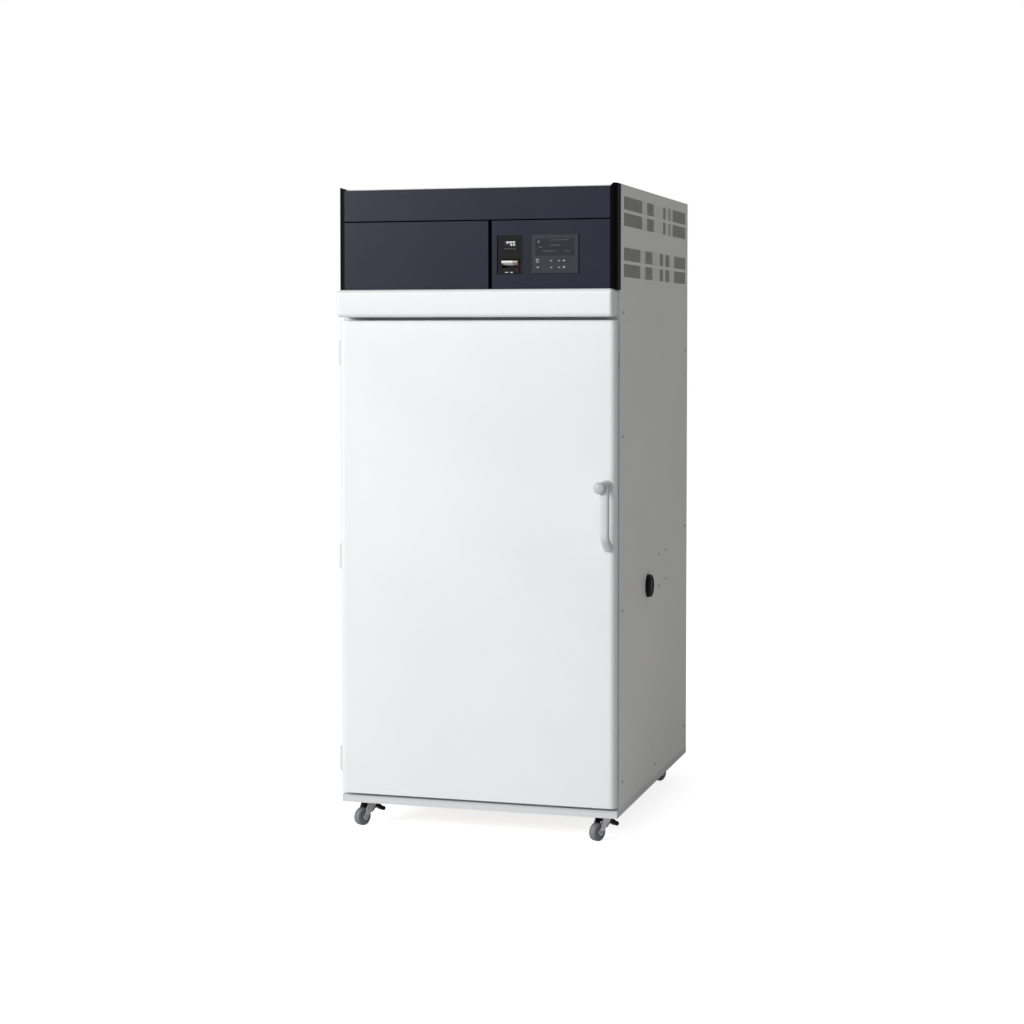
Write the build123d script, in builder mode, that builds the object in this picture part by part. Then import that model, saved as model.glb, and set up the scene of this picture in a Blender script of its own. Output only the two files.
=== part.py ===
from build123d import *
import math
import os

# A free-standing clean oven: a tall insulated cabinet on castors, a full-height door, and an instrument box
# behind a dark fascia on top. Millimetres. X is to the right seen from the front, Y goes to the back and Z is
# up. The origin is on the floor, under the middle of the whole outline.

os.makedirs("parts", exist_ok=True)

# Overall form
body_width = 800.0
body_depth = 940.0
caster_height = 75.0
base_height = 21.0
body_height = 1425.0
panel_height = 188.0
box_setback = 13.0
casing_sheet = 2.0
fit_gap = 0.5
side_reach = 12.5

# Chamber and its walls
side_wall = 100.0
floor_insulation = 74.0
roof_insulation = 145.0
back_insulation = 90.0
motor_space = 106.0
insulation_hole = 32.0
liner_sheet = 2.0
jamb_depth = 30.0
filter_depth = 90.0
plenum_depth = 120.0
return_height = 300.0

# Door
door_gap = 8.0
door_thickness = 32.0
door_edge_radius = 18.0
door_edge_gap = 9.0
door_side_inset = 1.0
plug_height = 22.0
plug_gap = 10.0
gasket_width = 12.0
gasket_margin = 8.0
gasket_squeeze_gap = 0.3

# Hinges
hinge_inset = 90.0
knuckle_radius = 6.0
knuckle_length = 35.0
knuckle_gap = 0.5
hinge_pin_radius = 3.0
hinge_leaf_sheet = 2.0
hinge_leaf_width = 30.0
running_gap = 0.05
pin_sides = 8

# Handle and latch
handle_drop = 452.0
grip_side_offset = 21.0
grip_width = 26.0
grip_thickness = 18.0
grip_standoff = 55.0
grip_length = 162.0
grip_foot_drop = 28.0
grip_bend = 20.0
grip_corner = 6.0
boss_stand = 1.0
knob_radius = 18.0
knob_length = 14.0
knob_edge = 4.0
knob_side_offset = 32.0
boss_radius = 16.0
spindle_radius = 5.0
tongue_sheet = 3.0
tongue_width = 14.0
tongue_reach = 27.0
keeper_sheet = 1.5
keeper_height = 35.0
keeper_width = 11.0
keeper_foot = 24.0
keeper_clearance = 5.0
keeper_door_gap = 1.0
catch_drop = 110.0
catch_length = 42.0
catch_width = 14.0

# Visor and fascia
visor_height = 76.0
visor_rise = 3.0
visor_reach = 73.0
visor_radius = 13.0
visor_inset = 3.6
fascia_reach = 39.0
fascia_sheet = 3.0
face_edge = 0.8
post_width = 18.0
post_rise = 8.0
groove_height = 6.0
groove_depth = 3.0
strip_height = 87.0
split_width = 10.0
control_width = 333.0
backplate_recess = 19.0

# Control devices, placed on the control panel
inset_left = 15.0
inset_width = 73.0
inset_height = 105.0
inset_drop = 42.0
inset_margin = 8.0
module_width = 46.0
module_height = 34.0
module_drop = 10.0
window_width = 34.0
window_height = 16.0
window_offset = 4.0
window_recess = 1.0
breaker_width = 53.0
breaker_height = 42.0
breaker_drop = 60.0
device_depth = 30.0
device_stand = 1.0
device_flange = 3.0
toggle_offset = 5.0
button_margin = 2.0
button_well = 8.0
button_stand = 2.0
button_edge = 0.6
axle_reach = 2.0
toggle_width = 45.4
toggle_thickness = 9.0
toggle_blade = 7.0
toggle_pocket_depth = 16.0
toggle_pocket_height = 24.0
toggle_axle_radius = 2.0
toggle_reach = 20.0
toggle_rest_angle = 17.0
test_button_size = 6.0
button_travel = 1.5
moving_gap = 0.3
unit_left = 114.0
unit_width = 132.0
unit_height = 107.0
unit_drop = 39.0
unit_bezel = 4.0
unit_depth = 38.0
unit_lap = 5.0
display_width = 108.0
display_height = 46.0
display_recess = 1.5
key_row_drop = 72.0
key_row_pitch = 18.0
power_key_radius = 8.0
power_key_inset = 18.0
arrow_key_inset = 92.0
keypad_width = 40.0
keypad_offset = 4.0
display_drop = 12.0
bezel_edge = 1.2
key_width = 14.0
key_height = 9.0
key_stand = 1.2
key_body = 4.0
key_travel = 0.8

# Instrument box
vent_top_margin = 31.0
vent_slot_height = 36.0
vent_pair_gap = 9.0
vent_middle_gap = 59.0
vent_slot_width = 34.0
vent_pitch = 75.0
vent_end_margin = 34.0
flange = 15.0

# Air system
fan_height = 160.0
fan_radius = 130.0
fan_width = 52.0
fan_eye_radius = 80.0
fan_blades = 7
fan_sheet = 2.5
fan_hub_radius = 20.0
fan_hub_length = 24.0
blade_root_inset = 18.0
blade_curve = 110.0
blade_tip_x = 109.0
blade_tip_z = 65.0
blade_tip_lean = 1.0
shaft_in_motor = 62.0
shaft_end_gap = 1.0
shaft_radius = 8.0
shaft_clearance = 5.0
inlet_throat_radius = 72.0
inlet_reach = 14.0
inlet_overlap = 2.0
motor_radius = 65.0
motor_length = 82.0
motor_flange = 160.0
motor_flange_sheet = 5.0
heater_rod_radius = 5.0
heater_spacing = 44.0
heater_rise = 60.0
heater_rows = 2
heater_clearance = 160.0
pleat_pitch = 26.0
pleat_media = 20.0
pleat_margin = 5.0
filter_rim = 18.0
duct_radius = 30.0
duct_wall = 2.0
duct_side_gap = 100.0
duct_back_gap = 90.0
duct_drop = 140.0
duct_collar = 42.0
spigot_length = 110.0
stop_reach = 60.0
stop_half = 33.0
damper_axis_reach = 34.0
damper_gap = 0.6
damper_sheet = 2.0
damper_spindle_radius = 3.0
damper_handle_width = 10.0
damper_handle_length = 36.0
damper_handle_height = 12.0

# Cable port and supply gland
port_back_gap = 163.0
port_rise = 500.0
port_radius = 27.0
port_wall = 2.0
port_flange_radius = 33.5
port_flange_sheet = 3.0
port_plug_length = 90.0
plug_radius = 32.5
gland_side_gap = 150.0
gland_drop = 205.0
gland_bore_radius = 8.0
gland_radius = 12.0
gland_nut_radius = 17.0
gland_nut_length = 9.0
gland_stand = 12.0
gland_length = 32.0

# Shelves
shelf_heights = (250.0, 560.0, 870.0)
shelf_side_gap = 12.0
shelf_front_gap = 62.0
shelf_back_gap = 48.0
shelf_sheet = 2.0
shelf_lip = 14.0
shelf_end_margin = 20.0
shelf_slot_pitch = 88.0
shelf_slot_width = 44.0
shelf_slot_inset = 35.0
upright_width = 20.0
upright_depth = 7.0
upright_top_gap = 82.0
upright_sheet = 2.0
upright_inset = 50.0
bracket_width = 16.0

# Castors
caster_side_inset = 55.0
caster_front_inset = 49.0
caster_rear_inset = 70.0
caster_heading = -117.0
caster_plate = 60.0
caster_plate_sheet = 3.0
kingpin_radius = 6.0
kingpin_head_radius = 10.0
kingpin_head_length = 3.0
crown_radius = 21.0
crown_height = 8.0
caster_trail = 26.0
wheel_radius = 25.0
wheel_width = 22.0
caster_axle_radius = 4.0
fork_sheet = 3.0
fork_wheel_gap = 1.5
pedal_length = 40.0
pedal_axle_radius = 2.5
pedal_pivot = 16.0
pedal_drop = 7.0
pedal_sheet = 5.0
shoe_reach = 17.0
shoe_drop = 21.0
leg_root = 14.0
leg_tip = 8.0
ear_height = 12.0
ear_width = 16.0

# Levels and planes that the pieces share
half_width = body_width / 2
chamber_width = body_width - 2 * side_wall
chamber_height = body_height - floor_insulation - roof_insulation - 2 * liner_sheet
chamber_depth = body_depth - motor_space - back_insulation - plenum_depth - filter_depth - 2 * liner_sheet
front_reach = door_gap + door_thickness + grip_standoff + boss_stand + moving_gap + knob_length
front_y = -(body_depth + spigot_length - front_reach) / 2
rear_y = front_y + body_depth
box_front_y = front_y + box_setback
base_top = caster_height + base_height
seam_z = base_top + body_height
visor_top = seam_z + visor_rise
panel_top = visor_top + panel_height
strip_bottom = panel_top + fascia_sheet
strip_top = strip_bottom + strip_height
top_z = strip_top + post_rise
box_height = top_z - seam_z
chamber_floor = base_top + floor_insulation + liner_sheet
chamber_top = chamber_floor + chamber_height
visor_bottom = visor_top - visor_height
door_bottom = base_top + door_edge_gap
door_top = visor_bottom - door_edge_gap
door_back_y = front_y - door_gap
door_front_y = door_back_y - door_thickness
fascia_y = front_y - fascia_reach
backplate_y = fascia_y + backplate_recess
diffuser_y = front_y + chamber_depth
filter_y = diffuser_y + liner_sheet
inlet_y = filter_y + filter_depth
liner_back_y = inlet_y + plenum_depth
back_slab_y = liner_back_y + liner_sheet + back_insulation
return_top = chamber_floor + return_height
inner_half = half_width - casing_sheet - fit_gap


def front_plane(y):
    """A plane facing the front at depth y: its sketch reads X and Z, and it extrudes towards the front."""
    return Plane.XZ.offset(-y)


def side_plane(x):
    """A plane facing right at x: its sketch reads Y and Z, and it extrudes to the right."""
    return Plane.YZ.offset(x)


def level(z):
    """A horizontal plane at height z: it extrudes upwards."""
    return Plane.XY.offset(z)


def finish(builder, label):
    """Names a finished piece and writes it."""
    builder.part.label = label
    export_step(builder.part, "parts/" + label + ".step")


# Base frame: a ring of folded channel, open to the inside, that runs forward under the door
apron_reach = 21.0
base_channel = 116.0
base_depth = body_depth + apron_reach
base_centre_y = (front_y - apron_reach + rear_y) / 2
with BuildPart() as base_frame:
    with BuildSketch(level(caster_height)) as base_ring:
        with Locations((0, base_centre_y)):
            Rectangle(body_width, base_depth)
            Rectangle(body_width - 2 * base_channel, base_depth - 2 * base_channel, mode=Mode.SUBTRACT)
    extrude(amount=base_height)
    with BuildSketch(level(caster_height + casing_sheet)):
        with Locations((0, base_centre_y)):
            Rectangle(body_width - 2 * casing_sheet, base_depth - 2 * casing_sheet)
    extrude(amount=base_height - 2 * casing_sheet, mode=Mode.SUBTRACT)
finish(base_frame, "base_frame")

# Front frame: the sheet round the chamber's mouth, with its jamb folded inwards
with BuildPart() as front_frame:
    with BuildSketch(front_plane(front_y + casing_sheet)):
        with Locations((0, base_top + body_height / 2)):
            Rectangle(2 * inner_half, body_height)
        with Locations((0, chamber_floor + chamber_height / 2)):
            Rectangle(chamber_width, chamber_height, mode=Mode.SUBTRACT)
    extrude(amount=casing_sheet)
    with BuildSketch(front_plane(front_y + jamb_depth)):
        with Locations((0, chamber_floor + chamber_height / 2)):
            Rectangle(chamber_width + 2 * liner_sheet, chamber_height + 2 * liner_sheet)
            Rectangle(chamber_width, chamber_height, mode=Mode.SUBTRACT)
    extrude(amount=jamb_depth)
finish(front_frame, "front_frame")

# Chamber liner: a stainless box open at the front, with holes for the fan shaft, the exhaust and the port
fan_z = chamber_floor + fan_height
port_y = diffuser_y - port_back_gap
port_height = chamber_floor + port_rise
duct_x = duct_side_gap - chamber_width / 2
duct_y = diffuser_y - duct_back_gap
shaft_hole_radius = shaft_radius + shaft_clearance
liner_depth = liner_back_y + liner_sheet - (front_y + jamb_depth)
with BuildPart() as chamber_liner:
    with BuildSketch(front_plane(liner_back_y + liner_sheet)):
        with Locations((0, chamber_floor + chamber_height / 2)):
            Rectangle(chamber_width + 2 * liner_sheet, chamber_height + 2 * liner_sheet)
    extrude(amount=liner_depth)
    with BuildSketch(front_plane(liner_back_y)):
        with Locations((0, chamber_floor + chamber_height / 2)):
            Rectangle(chamber_width, chamber_height)
    extrude(amount=liner_depth, mode=Mode.SUBTRACT)
    with BuildSketch(front_plane(liner_back_y + liner_sheet)):
        with Locations((0, fan_z)):
            Circle(shaft_hole_radius)
    extrude(amount=liner_sheet, mode=Mode.SUBTRACT)
    with BuildSketch(level(chamber_top)):
        with Locations((duct_x, duct_y)):
            Circle(duct_radius + fit_gap)
    extrude(amount=liner_sheet, mode=Mode.SUBTRACT)
    with BuildSketch(side_plane(chamber_width / 2)):
        with Locations((port_y, port_height)):
            Circle(port_radius + fit_gap)
    extrude(amount=liner_sheet, mode=Mode.SUBTRACT)
finish(chamber_liner, "chamber_liner")

# Wall insulation: floor, roof, two side slabs and a back slab, packed between liner and casing
liner_half = chamber_width / 2 + liner_sheet
liner_top = chamber_top + liner_sheet
liner_bottom = chamber_floor - liner_sheet
slab_front_y = front_y + 2 * casing_sheet
slab_width = inner_half - liner_half
with BuildPart() as wall_insulation:
    with BuildSketch(level(base_top)):
        with Locations((0, (slab_front_y + back_slab_y) / 2)):
            Rectangle(2 * inner_half, back_slab_y - slab_front_y)
    extrude(amount=floor_insulation)
    with BuildSketch(level(liner_top)):
        with Locations((0, (slab_front_y + back_slab_y) / 2)):
            Rectangle(2 * inner_half, back_slab_y - slab_front_y)
        with Locations((duct_x, duct_y)):
            Rectangle(2 * insulation_hole, 2 * insulation_hole, mode=Mode.SUBTRACT)
    extrude(amount=seam_z - liner_top)
    with BuildSketch(level(liner_bottom)):
        with Locations((0, back_slab_y - back_insulation / 2)):
            Rectangle(2 * liner_half, back_insulation)
        for side in (-1, 1):
            with Locations((side * (liner_half + slab_width / 2), (slab_front_y + back_slab_y) / 2)):
                Rectangle(slab_width, back_slab_y - slab_front_y)
    extrude(amount=liner_top - liner_bottom)
    with BuildSketch(front_plane(back_slab_y)):
        with Locations((0, fan_z)):
            Rectangle(2 * shaft_hole_radius, 2 * shaft_hole_radius)
    extrude(amount=back_insulation, mode=Mode.SUBTRACT)
    with BuildSketch(side_plane(liner_half)):
        with Locations((port_y, port_height)):
            Rectangle(2 * insulation_hole, 2 * insulation_hole)
    extrude(amount=slab_width, mode=Mode.SUBTRACT)
finish(wall_insulation, "wall_insulation")


def casing_side(side, hole):
    """One side panel: a sheet with a flange folded in at the front and the back, as a plan profile."""
    outer_x = side * half_width
    inner_x = side * (half_width - casing_sheet)
    flange_x = side * (half_width - casing_sheet - flange)
    flange_front_y = front_y + casing_sheet
    flange_back_y = rear_y - casing_sheet
    with BuildPart() as panel:
        with BuildSketch(level(base_top)):
            with BuildLine():
                Polyline(
                    (outer_x, front_y),
                    (outer_x, rear_y),
                    (inner_x, rear_y),
                    (inner_x, flange_back_y),
                    (flange_x, flange_back_y),
                    (flange_x, flange_back_y - casing_sheet),
                    (inner_x, flange_back_y - casing_sheet),
                    (inner_x, flange_front_y + casing_sheet),
                    (flange_x, flange_front_y + casing_sheet),
                    (flange_x, flange_front_y),
                    (inner_x, flange_front_y),
                    (inner_x, front_y),
                    close=True,
                )
            make_face()
        extrude(amount=body_height)
        if hole:
            with BuildSketch(side_plane(inner_x)):
                with Locations((port_y, port_height)):
                    Circle(port_radius + fit_gap)
            extrude(amount=casing_sheet, mode=Mode.SUBTRACT)
    return panel


finish(casing_side(-1, False), "left_side_panel")
finish(casing_side(1, True), "right_side_panel")

# Rear panel of the body, with louvres pressed out behind the motor
louvre_count = 6
louvre_pitch = 26.0
louvre_length = 160.0
louvre_height = 12.0
louvre_reach = 6.0
with BuildPart() as rear_panel:
    with BuildSketch(front_plane(rear_y)):
        with Locations((0, base_top + body_height / 2)):
            Rectangle(2 * inner_half, body_height)
    extrude(amount=casing_sheet)
    louvre_places = [(0, fan_z + (i - (louvre_count - 1) / 2) * louvre_pitch) for i in range(louvre_count)]
    with BuildSketch(front_plane(rear_y)):
        with Locations(*louvre_places):
            Rectangle(louvre_length, louvre_height)
    extrude(amount=casing_sheet, mode=Mode.SUBTRACT)
    for x, z in louvre_places:
        with BuildSketch(side_plane(-louvre_length / 2)):
            with BuildLine():
                Polyline(
                    (rear_y - casing_sheet, z + louvre_height / 2),
                    (rear_y, z + louvre_height / 2),
                    (rear_y + louvre_reach, z - louvre_height / 4),
                    (rear_y + louvre_reach - casing_sheet, z - louvre_height / 4),
                    close=True,
                )
            make_face()
        extrude(amount=louvre_length)
finish(rear_panel, "rear_panel")

# Visor: a hollow bull nose over the door, closed at its ends and open at the back
with BuildPart() as visor:
    with BuildSketch(side_plane(-half_width + visor_inset)):
        with Locations((front_y - visor_reach / 2, (visor_bottom + visor_top) / 2)):
            Rectangle(visor_reach, visor_height)
        fillet(vertices().group_by(Axis.X)[0], visor_radius)
    extrude(amount=body_width - 2 * visor_inset)
    offset(amount=-casing_sheet, openings=faces().sort_by(Axis.Y)[-1])
finish(visor, "visor")

# Fascia posts: quarter-round ends with the groove cut round them and the inner top corner sloped down
post_inner_x = half_width - post_width
with BuildPart() as fascia_posts:
    for side in (-1, 1):
        outer_x = side * half_width
        with BuildSketch(level(visor_top)):
            with BuildLine():
                Line((side * post_inner_x, fascia_y), (side * post_inner_x, fascia_y + fascia_sheet))
                inner_arc = RadiusArc(
                    (side * post_inner_x, fascia_y + fascia_sheet),
                    (side * (half_width - fascia_sheet), fascia_y + post_width),
                    -side * (post_width - fascia_sheet),
                )
                Polyline(
                    inner_arc @ 1,
                    (side * (half_width - fascia_sheet), box_front_y),
                    (outer_x, box_front_y),
                    (outer_x, fascia_y + post_width),
                )
                RadiusArc((outer_x, fascia_y + post_width), (side * post_inner_x, fascia_y), side * post_width)
            make_face()
        extrude(amount=top_z - visor_top)
    with BuildSketch(front_plane(box_front_y)):
        for side in (-1, 1):
            with BuildLine():
                Polyline(
                    (side * post_inner_x, strip_top),
                    (side * (post_inner_x + post_rise), top_z),
                    (side * post_inner_x, top_z),
                    close=True,
                )
            make_face()
    extrude(amount=box_front_y - fascia_y, mode=Mode.SUBTRACT)
    with BuildSketch(level(panel_top)):
        with Locations((0, (fascia_y + box_front_y) / 2)):
            Rectangle(body_width + 2 * groove_depth, box_front_y - fascia_y + 2 * groove_depth)
        with Locations((0, (fascia_y + groove_depth / 2 + box_front_y) / 2)):
            RectangleRounded(
                body_width - groove_depth, box_front_y - fascia_y - groove_depth / 2, post_width / 2, mode=Mode.SUBTRACT
            )
    extrude(amount=fascia_sheet, mode=Mode.SUBTRACT)
finish(fascia_posts, "fascia_posts")


def fascia_pan(left, right, bottom, top, depth, windows=()):
    """A shallow pan: a face plate with its edges folded back by depth, and a window for each device."""
    with BuildPart() as pan:
        with BuildSketch(front_plane(fascia_y + depth)):
            with Locations(((left + right) / 2, (bottom + top) / 2)):
                Rectangle(right - left, top - bottom)
        extrude(amount=depth)
        offset(amount=-fascia_sheet, openings=faces().sort_by(Axis.Y)[-1])
        chamfer(faces().sort_by(Axis.Y)[0].outer_wire().edges(), face_edge)
        for x, z, width, height in windows:
            with BuildSketch(front_plane(fascia_y + depth)):
                with Locations((x, z)):
                    Rectangle(width, height)
            extrude(amount=depth, mode=Mode.SUBTRACT)
    return pan


# Upper strip and the plain left panel
finish(fascia_pan(-post_inner_x, post_inner_x, strip_bottom, strip_top, box_front_y - fascia_y), "fascia_strip")
control_left = post_inner_x - control_width
blank_right = control_left - split_width
finish(fascia_pan(-post_inner_x, blank_right, visor_top, panel_top, backplate_recess), "blank_panel")

# Control panel with its two cut-outs
inset_x = control_left + inset_left + inset_width / 2
inset_z = panel_top - inset_drop - inset_height / 2
unit_x = control_left + unit_left + unit_width / 2
unit_z = panel_top - unit_drop - unit_height / 2
unit_body_width = unit_width - 2 * unit_lap
unit_body_height = unit_height - 2 * unit_lap
unit_window = (unit_x, unit_z, unit_body_width + 2 * fit_gap, unit_body_height + 2 * fit_gap)
control_windows = [(inset_x, inset_z, inset_width, inset_height), unit_window]
finish(
    fascia_pan(control_left, post_inner_x, visor_top, panel_top, backplate_recess, control_windows),
    "control_panel",
)

# Back plate: a tray behind the fascia panels that carries them on the instrument box
with BuildPart() as fascia_backplate:
    with BuildSketch(front_plane(box_front_y)):
        with Locations((0, (visor_top + strip_bottom) / 2)):
            Rectangle(2 * post_inner_x, strip_bottom - visor_top)
    extrude(amount=box_front_y - backplate_y)
    offset(amount=-casing_sheet, openings=faces().sort_by(Axis.Y)[-1])
    with BuildSketch(front_plane(box_front_y)):
        with Locations((inset_x, inset_z)):
            Rectangle(inset_width + 2 * fit_gap, inset_height + 2 * fit_gap)
        with Locations((unit_x, unit_z)):
            Rectangle(unit_body_width + 2 * fit_gap, unit_body_height + 2 * fit_gap)
    extrude(amount=box_front_y - backplate_y, mode=Mode.SUBTRACT)
finish(fascia_backplate, "fascia_backplate")

# Black inset plate behind the first cut-out
inset_face_y = fascia_y + fascia_sheet
inset_top = inset_z + inset_height / 2
module_x = inset_x
module_z = inset_top - module_drop - module_height / 2
breaker_z = inset_top - breaker_drop - breaker_height / 2
with BuildPart() as switch_plate:
    with BuildSketch(front_plane(inset_face_y + casing_sheet)):
        with Locations((inset_x, inset_z)):
            Rectangle(inset_width + 2 * inset_margin, inset_height + 2 * inset_margin)
        with Locations((module_x, module_z)):
            Rectangle(module_width + 2 * fit_gap, module_height + 2 * fit_gap, mode=Mode.SUBTRACT)
        with Locations((inset_x, breaker_z)):
            Rectangle(breaker_width + 2 * fit_gap, breaker_height + 2 * fit_gap, mode=Mode.SUBTRACT)
    extrude(amount=casing_sheet)
finish(switch_plate, "switch_plate")

# Switch modules: the over-temperature module and the breaker body, each with a flange behind the plate
device_face_y = inset_face_y - device_stand
device_flange_y = inset_face_y + casing_sheet
toggle_z = breaker_z + toggle_offset
toggle_y = device_face_y + toggle_pocket_depth - toggle_thickness / 2 - moving_gap
button_x = inset_x + toggle_width / 2 - test_button_size / 2
button_z = toggle_z - toggle_pocket_height / 2 - test_button_size / 2 - button_margin
with BuildPart() as switch_modules:
    with BuildSketch(front_plane(device_face_y + device_depth)):
        with Locations((module_x, module_z)):
            Rectangle(module_width, module_height)
        with Locations((inset_x, breaker_z)):
            Rectangle(breaker_width, breaker_height)
    extrude(amount=device_depth)
    with BuildSketch(front_plane(device_flange_y + casing_sheet)):
        with Locations((module_x, module_z)):
            Rectangle(module_width + 2 * device_flange, module_height + 2 * device_flange)
        with Locations((inset_x, breaker_z)):
            Rectangle(breaker_width + 2 * device_flange, breaker_height + 2 * device_flange)
    extrude(amount=casing_sheet)
    with BuildSketch(front_plane(device_face_y + toggle_pocket_depth)):
        with Locations((inset_x, toggle_z)):
            Rectangle(toggle_width + 2 * moving_gap, toggle_pocket_height)
    extrude(amount=toggle_pocket_depth, mode=Mode.SUBTRACT)
    with BuildSketch(side_plane(inset_x - toggle_width / 2 - axle_reach - moving_gap)):
        with Locations((toggle_y, toggle_z)):
            Circle(toggle_axle_radius + running_gap)
    extrude(amount=toggle_width + 2 * axle_reach + 2 * moving_gap, mode=Mode.SUBTRACT)
    with BuildSketch(front_plane(device_face_y + button_well)):
        with Locations((button_x, button_z)):
            Rectangle(test_button_size + 2 * moving_gap, test_button_size + 2 * moving_gap)
    extrude(amount=button_well, mode=Mode.SUBTRACT)
    with BuildSketch(front_plane(device_face_y + window_recess)):
        with Locations((module_x, module_z + window_offset)):
            Rectangle(window_width, window_height)
    extrude(amount=window_recess, mode=Mode.SUBTRACT)
finish(switch_modules, "switch_modules")

# Breaker toggle: a wide lever on its own stub axle, resting in the upper position
toggle_plane = Plane(origin=(inset_x - toggle_width / 2, toggle_y, toggle_z), x_dir=(0, 1, 0), z_dir=(1, 0, 0))
with BuildPart() as breaker_toggle:
    with BuildSketch(toggle_plane):
        Circle(toggle_thickness / 2)
        with Locations(Rot(0, 0, -toggle_rest_angle)):
            with Locations((-toggle_reach / 2, 0)):
                Rectangle(toggle_reach, toggle_blade)
    extrude(amount=toggle_width)
    with BuildSketch(side_plane(inset_x - toggle_width / 2 - axle_reach)):
        with Locations((toggle_y, toggle_z)):
            RegularPolygon(toggle_axle_radius, pin_sides)
    extrude(amount=toggle_width + 2 * axle_reach)
finish(breaker_toggle, "breaker_toggle")

# Small test button of the breaker
with BuildPart() as test_button:
    with BuildSketch(front_plane(device_face_y + button_well - button_travel - moving_gap)):
        with Locations((button_x, button_z)):
            Rectangle(test_button_size, test_button_size)
    extrude(amount=button_well - button_travel - moving_gap + button_stand)
    chamfer(faces().sort_by(Axis.Y)[0].edges(), button_edge)
finish(test_button, "test_button")

# Control unit: bezel proud of the panel, body through it, display recess, keypad strip and key wells
bezel_y = fascia_y - unit_bezel
unit_left_x = unit_x - unit_width / 2
unit_top = unit_z + unit_height / 2
key_upper_z = unit_top - key_row_drop
key_lower_z = key_upper_z - key_row_pitch
power_key_x = unit_left_x + power_key_inset
arrow_key_x = unit_left_x + arrow_key_inset
key_well = key_body + key_travel + moving_gap
with BuildPart() as control_unit:
    with BuildSketch(front_plane(fascia_y)):
        with Locations((unit_x, unit_z)):
            Rectangle(unit_width, unit_height)
    extrude(amount=unit_bezel)
    chamfer(faces().sort_by(Axis.Y)[0].edges(), bezel_edge)
    with BuildSketch(front_plane(fascia_y + unit_depth)):
        with Locations((unit_x, unit_z)):
            Rectangle(unit_body_width, unit_body_height)
    extrude(amount=unit_depth)
    with BuildSketch(front_plane(bezel_y + display_recess)):
        with Locations((unit_x, unit_top - display_drop - display_height / 2)):
            Rectangle(display_width, display_height)
        with Locations((unit_x + keypad_offset, key_upper_z)):
            Rectangle(keypad_width, key_height)
    extrude(amount=display_recess, mode=Mode.SUBTRACT)
    with BuildSketch(front_plane(bezel_y + key_well)):
        with Locations((power_key_x, key_upper_z)):
            Circle(power_key_radius + moving_gap)
        with Locations((power_key_x, key_lower_z), (arrow_key_x, key_upper_z), (arrow_key_x, key_lower_z)):
            Rectangle(key_width + 2 * moving_gap, key_height + 2 * moving_gap)
    extrude(amount=key_well, mode=Mode.SUBTRACT)
finish(control_unit, "control_unit")


def panel_key(x, z, label, round_key):
    """A key that stands a little proud of the bezel and has room to travel in its well."""
    with BuildPart() as key:
        with BuildSketch(front_plane(bezel_y + key_body)):
            with Locations((x, z)):
                if round_key:
                    Circle(power_key_radius)
                else:
                    Rectangle(key_width, key_height)
        extrude(amount=key_body + key_stand)
    finish(key, label)


panel_key(power_key_x, key_upper_z, "power_key", True)
panel_key(power_key_x, key_lower_z, "run_key", False)
panel_key(arrow_key_x, key_upper_z, "up_key", False)
panel_key(arrow_key_x, key_lower_z, "down_key", False)

# Instrument tray: the floor of the box, with its rear wall folded up and holes for duct and gland
duct_z = top_z - duct_drop
gland_x = half_width - gland_side_gap
gland_z = top_z - gland_drop
cover_z = top_z - casing_sheet
with BuildPart() as instrument_tray:
    with BuildSketch(side_plane(-inner_half)):
        with BuildLine():
            Polyline(
                (box_front_y, seam_z),
                (rear_y, seam_z),
                (rear_y, cover_z - casing_sheet),
                (rear_y - casing_sheet, cover_z - casing_sheet),
                (rear_y - casing_sheet, seam_z + casing_sheet),
                (box_front_y, seam_z + casing_sheet),
                close=True,
            )
        make_face()
    extrude(amount=2 * inner_half)
    with BuildSketch(level(seam_z)):
        with Locations((duct_x, duct_y)):
            Circle(duct_radius + fit_gap)
    extrude(amount=casing_sheet, mode=Mode.SUBTRACT)
    with BuildSketch(front_plane(rear_y)):
        with Locations((duct_x, duct_z)):
            Circle(duct_radius + fit_gap)
        with Locations((gland_x, gland_z)):
            Circle(gland_radius + fit_gap)
    extrude(amount=casing_sheet, mode=Mode.SUBTRACT)
finish(instrument_tray, "instrument_tray")

# Top cover: a lid with its edges turned down inside the side panels
with BuildPart() as top_cover:
    with BuildSketch(level(cover_z - flange)):
        with Locations((0, (box_front_y + rear_y) / 2)):
            Rectangle(2 * inner_half, rear_y - box_front_y)
    extrude(amount=flange)
    offset(amount=-casing_sheet, openings=faces().sort_by(Axis.Z)[0])
    with BuildSketch(level(cover_z - flange)):
        with Locations((0, rear_y - casing_sheet / 2)):
            Rectangle(2 * inner_half, casing_sheet)
    extrude(amount=flange - casing_sheet, mode=Mode.SUBTRACT)
finish(top_cover, "top_cover")

# Rows of upright slots, in two pairs, on both sides of the instrument box
vent_length = rear_y - box_front_y - 2 * vent_end_margin
vent_columns = int(vent_length / vent_pitch) + 1
row_one = top_z - vent_top_margin - vent_slot_height / 2
row_two = row_one - vent_slot_height - vent_pair_gap
row_three = row_two - vent_slot_height - vent_middle_gap
row_four = row_three - vent_slot_height - vent_pair_gap


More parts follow.
